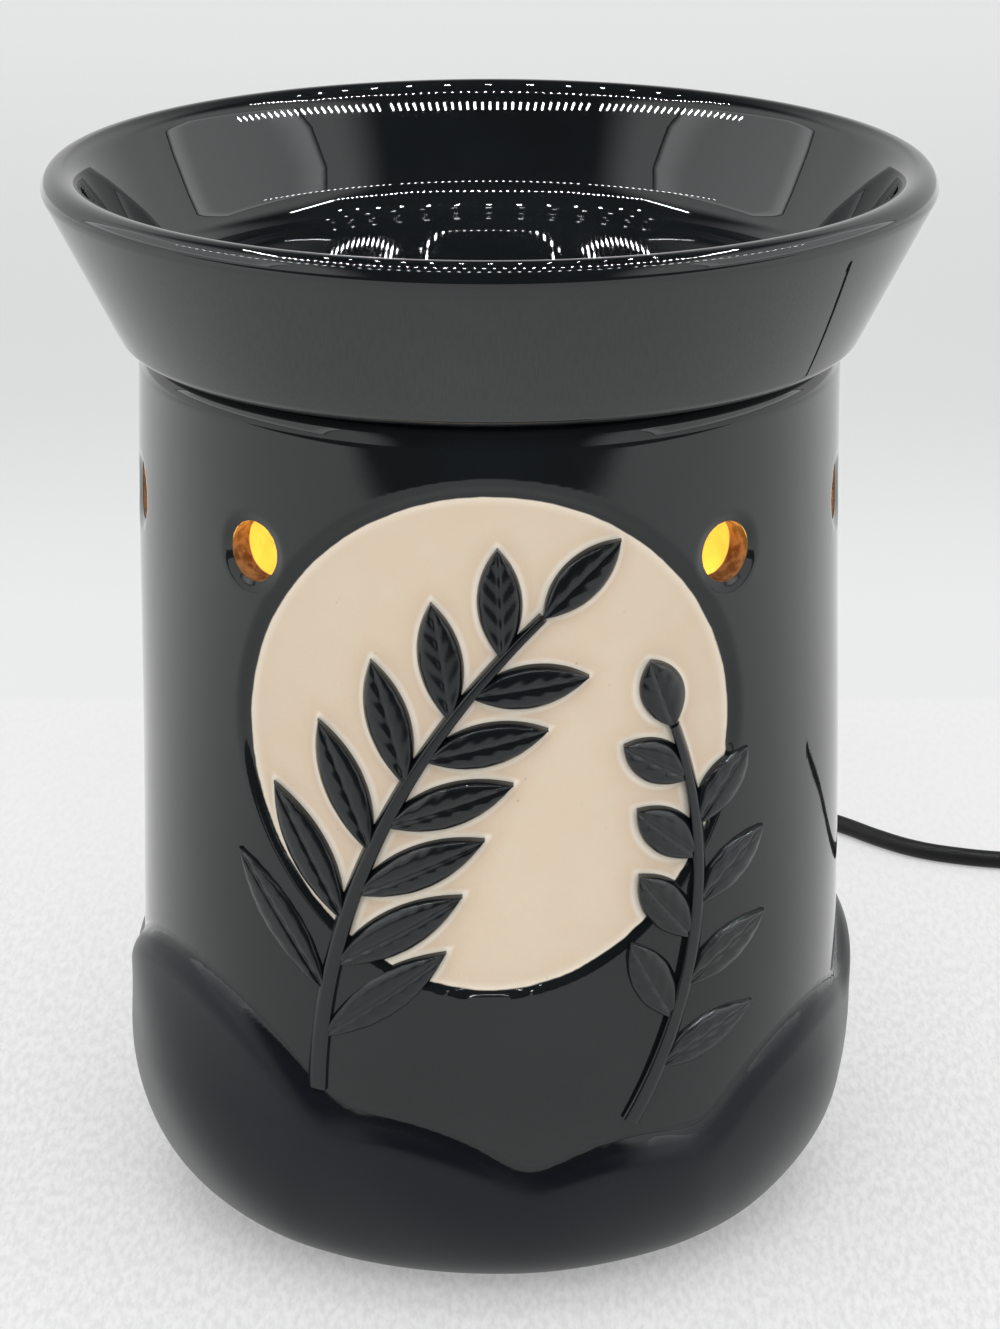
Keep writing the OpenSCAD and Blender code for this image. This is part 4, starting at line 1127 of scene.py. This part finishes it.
FINISHES = {
    "steel": metal("zinc_steel", (0.58, 0.60, 0.62, 1), (0.42, 0.44, 0.47, 1), 0.28, 1500),
    "brass": metal("brass_sheet", (0.80, 0.60, 0.26, 1), (0.58, 0.40, 0.15, 1), 0.22, 1800),
    "cap_metal": metal("cap_aluminium", (0.78, 0.79, 0.80, 1), (0.60, 0.61, 0.63, 1), 0.24, 1400),
    "rubber": moulded("black_rubber", (0.014, 0.014, 0.014, 1), (0.024, 0.024, 0.023, 1), 0.55, 2200, 0.05),
    "phenolic": moulded("brown_phenolic", (0.03, 0.016, 0.01, 1), (0.045, 0.025, 0.016, 1), 0.32, 1600, 0.02),
    "lead": moulded("lead_sleeve", (0.006, 0.006, 0.007, 1), (0.01, 0.01, 0.011, 1), 0.48, 2600, 0.03, 1.3),
    "wire_sleeve": moulded("wire_sleeve", (0.62, 0.61, 0.58, 1), (0.52, 0.51, 0.48, 1), 0.42, 2400, 0.02),
    "switch_plastic": moulded(
        "switch_shell", (0.012, 0.012, 0.013, 1), (0.020, 0.020, 0.021, 1), 0.30, 3000, 0.04
    ),
    "black_glass": moulded("black_glass", (0.008, 0.008, 0.01, 1), (0.014, 0.013, 0.014, 1), 0.08, 900, 0.01),
}
dressed = dict(small, bulb_cap=cap, screw_shell=shell, cord_lead=lead, cord_link=coiled_lead)
dressed["inner_leads"] = inner_leads
for node, piece in dressed.items():
    wear(piece, FINISHES[slot_of[node]])
print("finishes:", len(FINISHES), "on", len(dressed), "pieces")

# %% [markdown]
# ## Lit bulb
# The bulb is on in the photograph, and its warm light fills the hollow and shows in the light holes. The
# globe is tinted glass that glows evenly, because its inside is frosted. Its emission lights the clay
# walls, so no extra lamp is needed inside. The walls of the light holes also have its warm light and
# some shade painted into their colour.

# %% Glass and glow
GLOW = (1.0, 0.70, 0.15, 1)
GLOW_PALE = (1.0, 0.76, 0.22, 1)

globe_glass, tree = start_material(
    "frosted_globe", IOR=1.45, Transmission_Weight=0.6, Roughness=0.25, Emission_Strength=3.2
)
frost = use_group(tree, moulded_group, Scale=1200.0)
fill(
    globe_glass, Base_Color=blend(frost["Tone"], 0.35, 0.7, (1.0, 0.90, 0.62, 1), (1.0, 0.84, 0.50, 1)),
    Emission_Color=blend(frost["Tone"], 0.3, 0.75, GLOW, GLOW_PALE),
    Normal=bump(frost["Height"], 0.01),
)

stem_glass, tree = start_material("stem_glass", IOR=1.5, Transmission_Weight=1.0, Roughness=0.03)
melt = use_group(tree, glaze_group, Scale=300.0, Peel=0.1)
clear = blend(melt["Tone"], 0.3, 0.7, (0.95, 0.97, 0.95, 1), (0.90, 0.94, 0.92, 1))
fill(stem_glass, Base_Color=clear, Normal=bump(melt["Height"], 0.05))

glow_wire, tree = start_material("glowing_tungsten", Metallic=1.0, Roughness=0.4, Emission_Strength=12.0)
heat = noise(places(tree), 400, 2)
fill(
    glow_wire, Emission_Color=blend(heat, 0.3, 0.7, (1.0, 0.62, 0.2, 1), (1.0, 0.75, 0.35, 1)),
    Base_Color=mix_colour(heat, (0.45, 0.43, 0.40, 1), (0.35, 0.33, 0.30, 1)),
)

support_steel = metal("support_wire", (0.60, 0.58, 0.55, 1), (0.45, 0.43, 0.40, 1), 0.25, 2000)
wear(filament, glow_wire)
bulb_finishes = {"bulb_glass": globe_glass, "bulb_stem": stem_glass, "bulb_supports": support_steel}
for node, finish in bulb_finishes.items():
    for place_of_material in nodes[node].material_slots:
        place_of_material.material = finish
print("lit bulb finished")

# %% [markdown]
# ## Table and light
# The photograph was taken in a small light tent, on a white foam sheet with plain paper behind it. One large
# floor carries both: fine grain as far as the sheet reaches, and smooth paper with a soft dip in
# brightness beyond. The foam lets some light through, so it glows a little and the shadow on it stays
# faint. Soft light comes from above. In mirrors the floor farther off is evenly lit, because a black
# glaze shows mostly what it mirrors and every shadow on the table would be seen in it. The room is dark
# in mirrors too, apart from the tent's sides and the paper that rises behind.

# %% Floor
FLOOR_HALF = 4
FLOOR_COLOUR = (0.92, 0.925, 0.92, 1)
FLOOR_SHADE = (0.80, 0.805, 0.80, 1)
FLECK_NEAR_Y, FLECK_FAR_Y = 0.02, 0.17
PAPER_COLOUR = (0.85, 0.86, 0.855, 1)
PAPER_SHADE = (0.76, 0.77, 0.765, 1)
PAPER_FAR = (0.95, 0.96, 0.955, 1)
PAPER_NEAR_Y, PAPER_DIP_Y, PAPER_FAR_Y = 0.24, 0.44, 1.05
SHEET_END_Y = 0.203
ROOM_DARK = (0.02, 0.02, 0.02, 1)
DARK_NEAR_Y, DARK_FAR_Y = -0.36, -0.43
EVEN_NEAR, EVEN_FAR = 0.10, 0.13
EVEN_MIDDLE, EVEN_SIDES = 0.62, 0.82
EVEN_MIDDLE_X, EVEN_SIDE_X = 0.12, 0.45
SHEET_GLOW = 0.42

floor_corners = [(x * FLOOR_HALF, y * FLOOR_HALF, 0) for x, y in ((-1, -1), (1, -1), (1, 1), (-1, 1))]
floor = mesh_object("table_sheet", floor_corners, [(0, 1, 2, 3)])
foam, tree = start_material("foam_sheet", Roughness=0.8, Specular_IOR_Level=0.2, Emission_Strength=1.5)
spot = places(tree)
across, along, _ = axes(spot)
grain = noise(places(tree, (1, 0.28, 1)), 1150, 3, 0.6)
fading = remap(along, FLECK_NEAR_Y, FLECK_FAR_Y, 0.0, 0.8)
fleck = mix_value(fading, remap(grain, 0.30, 0.66), 0.62)
sheet = mix_colour(fleck, FLOOR_SHADE, FLOOR_COLOUR)
paper = blend(along, PAPER_NEAR_Y, PAPER_DIP_Y, PAPER_COLOUR, PAPER_SHADE)
paper = blend(along, PAPER_DIP_Y, PAPER_FAR_Y, paper, PAPER_FAR)
pale = blend(along, SHEET_END_Y - 0.002, SHEET_END_Y + 0.003, sheet, paper)
in_mirror = add(tree, "LightPath").outputs["Is Glossy Ray"]
mirrored_room = combine("MULTIPLY", remap(along, DARK_NEAR_Y, DARK_FAR_Y), in_mirror)
pale = mix_colour(mirrored_room, pale, ROOM_DARK)
axis_gap = add(tree, "VectorMath")
axis_gap.operation = "LENGTH"
feed(axis_gap.inputs[0], spot)
far_off = remap(axis_gap.outputs["Value"], EVEN_NEAR, EVEN_FAR)
mirrored_far = combine("MULTIPLY", far_off, in_mirror)
unlit = mix_value(mirrored_far, SHEET_GLOW, 1.0)
off_middle = combine("ABSOLUTE", across)
even_light = remap(off_middle, EVEN_MIDDLE_X, EVEN_SIDE_X, EVEN_MIDDLE, EVEN_SIDES)
glow_share = mix_value(mirrored_far, SHEET_GLOW * EVEN_MIDDLE, even_light)
fill(
    foam, Base_Color=mix_colour(unlit, pale, BLACK), Normal=bump(fleck, 0.08, 0.4),
    Emission_Color=mix_colour(glow_share, BLACK, pale),
)
wear(floor, foam)
print("stage:", floor.name)

# %% Lamps and the dim room
ROOM_LIGHT = 0.62
ROOM_MIRRORED = 0.02
TENT_MIRRORED = 1.05
TENT_START, TENT_FULL = 0.46, 0.66
PAPER_MIRRORED = 0.85
REAR_START, REAR_FULL = 0.45, 0.70
PAPER_LOW, PAPER_TOP = 0.12, 0.62


def area_lamp(name, place_at, tilt, size, power):
    """A soft rectangular lamp, tilted from straight down, that mirrors don't show."""
    data = bpy.data.lights.new(name, "AREA")
    data.shape = "RECTANGLE"
    data.size, data.size_y = size
    data.energy = power
    made = put(name, data)
    made.location = place_at
    made.rotation_euler = (math.radians(tilt), 0, 0)
    made.visible_glossy = False
    return made


world = bpy.data.worlds.new("soft_room")
world.use_nodes = True
bpy.context.scene.world = world
tree = world.node_tree
aside, rearwards, upwards = axes(add(tree, "TexCoord").outputs["Generated"])
sideways = combine("ABSOLUTE", aside)
tent_side = remap(sideways, TENT_START, TENT_FULL, ROOM_MIRRORED, TENT_MIRRORED)
above_paper = remap(combine("SUBTRACT", upwards, sideways), PAPER_LOW, PAPER_TOP, 1.0, 0.0)
paper_share = combine("MULTIPLY", remap(rearwards, REAR_START, REAR_FULL), above_paper)
mirrored = mix_value(paper_share, tent_side, PAPER_MIRRORED)
in_mirror = add(tree, "LightPath").outputs["Is Glossy Ray"]
room_strength = mix_value(in_mirror, ROOM_LIGHT, mirrored)
set_inputs(tree.nodes["Background"], {"Color": (1, 1, 1, 1), "Strength": room_strength})
top_lamp = area_lamp("overhead_panel", (0, -0.05, 0.95), 0, (0.9, 0.7), 3.5)
front_lamp = area_lamp("front_panel", (0, -0.8, 0.8), 48, (0.9, 0.6), 4.5)
print("lamps:", top_lamp.name, front_lamp.name)

# %% [markdown]
# ## What the glaze mirrors
# The light tent has pale side walls, a frame of small bright diodes under its roof and a bowed row of them
# in front. In the photograph they show as two soft rectangles in the dish and as rows of sparkling points
# along its rounded edges. Emissive panels and dots that only mirrors see give the same picture without
# changing the light on the object. The wound-up lead, plug and switch are left out of mirrors, because the
# photograph shows no coil and its loops would be seen in the glaze.

# %% Side walls and diodes for reflections
WALL_X = 0.55
WALL_CORNERS = ((-0.42, 0.22), (0.30, 0.22), (0.30, 0.62), (-0.42, 0.62))
WALL_GLOW = 2.2
PANEL_RATIO = 1.8
PANEL_SEAM = (0.93, 0.96, 0.96, 1)
PANEL_CLOTH = (0.61, 0.63, 0.63, 1)
DIODE_COLOUR = (0.97, 0.99, 1.0, 1)
DIODE_Z = 0.60
DIODE_HALF = (0.0016, 0.0016)
DIODE_GLOW = 1500.0
DIODE_BARS = [
    ((-0.145, -0.125), (0.145, -0.125), 24), ((0.152, -0.112), (0.262, -0.012), 15),
    ((0.262, 0.01), (0.235, 0.20), 14), ((-0.152, -0.112), (-0.262, -0.012), 15),
    ((-0.262, 0.01), (-0.235, 0.20), 14), ((-0.13, 0.23), (0.13, 0.23), 13),
]
FRONT_ROW_Z = 0.45
FRONT_ROW_Y = -0.267
FRONT_ROW_DEPTH = 0.298
FRONT_ROW_SPAN = 0.36
FRONT_ROW_HALF = (0.0018, 0.0048)
FRONT_ROW_GLOW = 90.0
FRONT_ROW_GROUPS = [(-0.46, -0.20, 22), (-0.176, 0.176, 27), (0.20, 0.46, 22)]


def mirror_only(piece, strength):
    """Makes a piece of the stage that glows in mirrors alone."""
    finish, tree = start_material(piece.name + "_glow", Base_Color=BLACK, Emission_Strength=strength)
    wear(piece, finish)
    for ray in ("camera", "diffuse", "transmission", "volume_scatter", "shadow"):
        setattr(piece, "visible_" + ray, False)
    return finish, tree


def diode_rows(name, spots, z, half, strength):
    """Small flat lamps under the roof, one at each spot, that only mirrors see."""
    points = []
    faces = []
    for x, y in spots:
        faces.append(tuple(range(len(points), len(points) + 4)))
        for dx, dy in ((-1, -1), (1, -1), (1, 1), (-1, 1)):
            points.append((x + dx * half[0], y + dy * half[1], z))
    finish, _ = mirror_only(mesh_object(name, points, faces), strength)
    fill(finish, Emission_Color=DIODE_COLOUR)


for side, name in ((-1, "side_wall_left"), (1, "side_wall_right")):
    wall = mesh_object(name, [(WALL_X * side, y, z) for y, z in WALL_CORNERS], [(0, 1, 2, 3)])
    finish, tree = mirror_only(wall, WALL_GLOW)
    _, along, upwards = axes(add(tree, "TexCoord").outputs["Generated"])
    from_end = combine("PINGPONG", combine("MULTIPLY", along, PANEL_RATIO), PANEL_RATIO / 2)
    from_edge = combine("MINIMUM", from_end, combine("PINGPONG", upwards, 0.5))
    cloth = blend(from_edge, 0.05, 0.24, PANEL_SEAM, PANEL_CLOTH)
    fill(finish, Emission_Color=blend(from_edge, 0.0, 0.05, BLACK, cloth))

bar_spots = []
for start, end, count in DIODE_BARS:
    bar_spots += zip(np.linspace(start[0], end[0], count), np.linspace(start[1], end[1], count))
row_spots = []
for start, end, count in FRONT_ROW_GROUPS:
    for x in np.linspace(start, end, count):
        row_spots.append((x, FRONT_ROW_Y + FRONT_ROW_DEPTH * (math.cosh(x / FRONT_ROW_SPAN) - 1)))
diode_rows("diode_frame", bar_spots, DIODE_Z, DIODE_HALF, DIODE_GLOW)
diode_rows("front_row", row_spots, FRONT_ROW_Z, FRONT_ROW_HALF, FRONT_ROW_GLOW)
for piece in [coiled_lead] + plug_pieces + switch_pieces:
    piece.visible_glossy = False
print("diodes:", len(bar_spots) + len(row_spots))
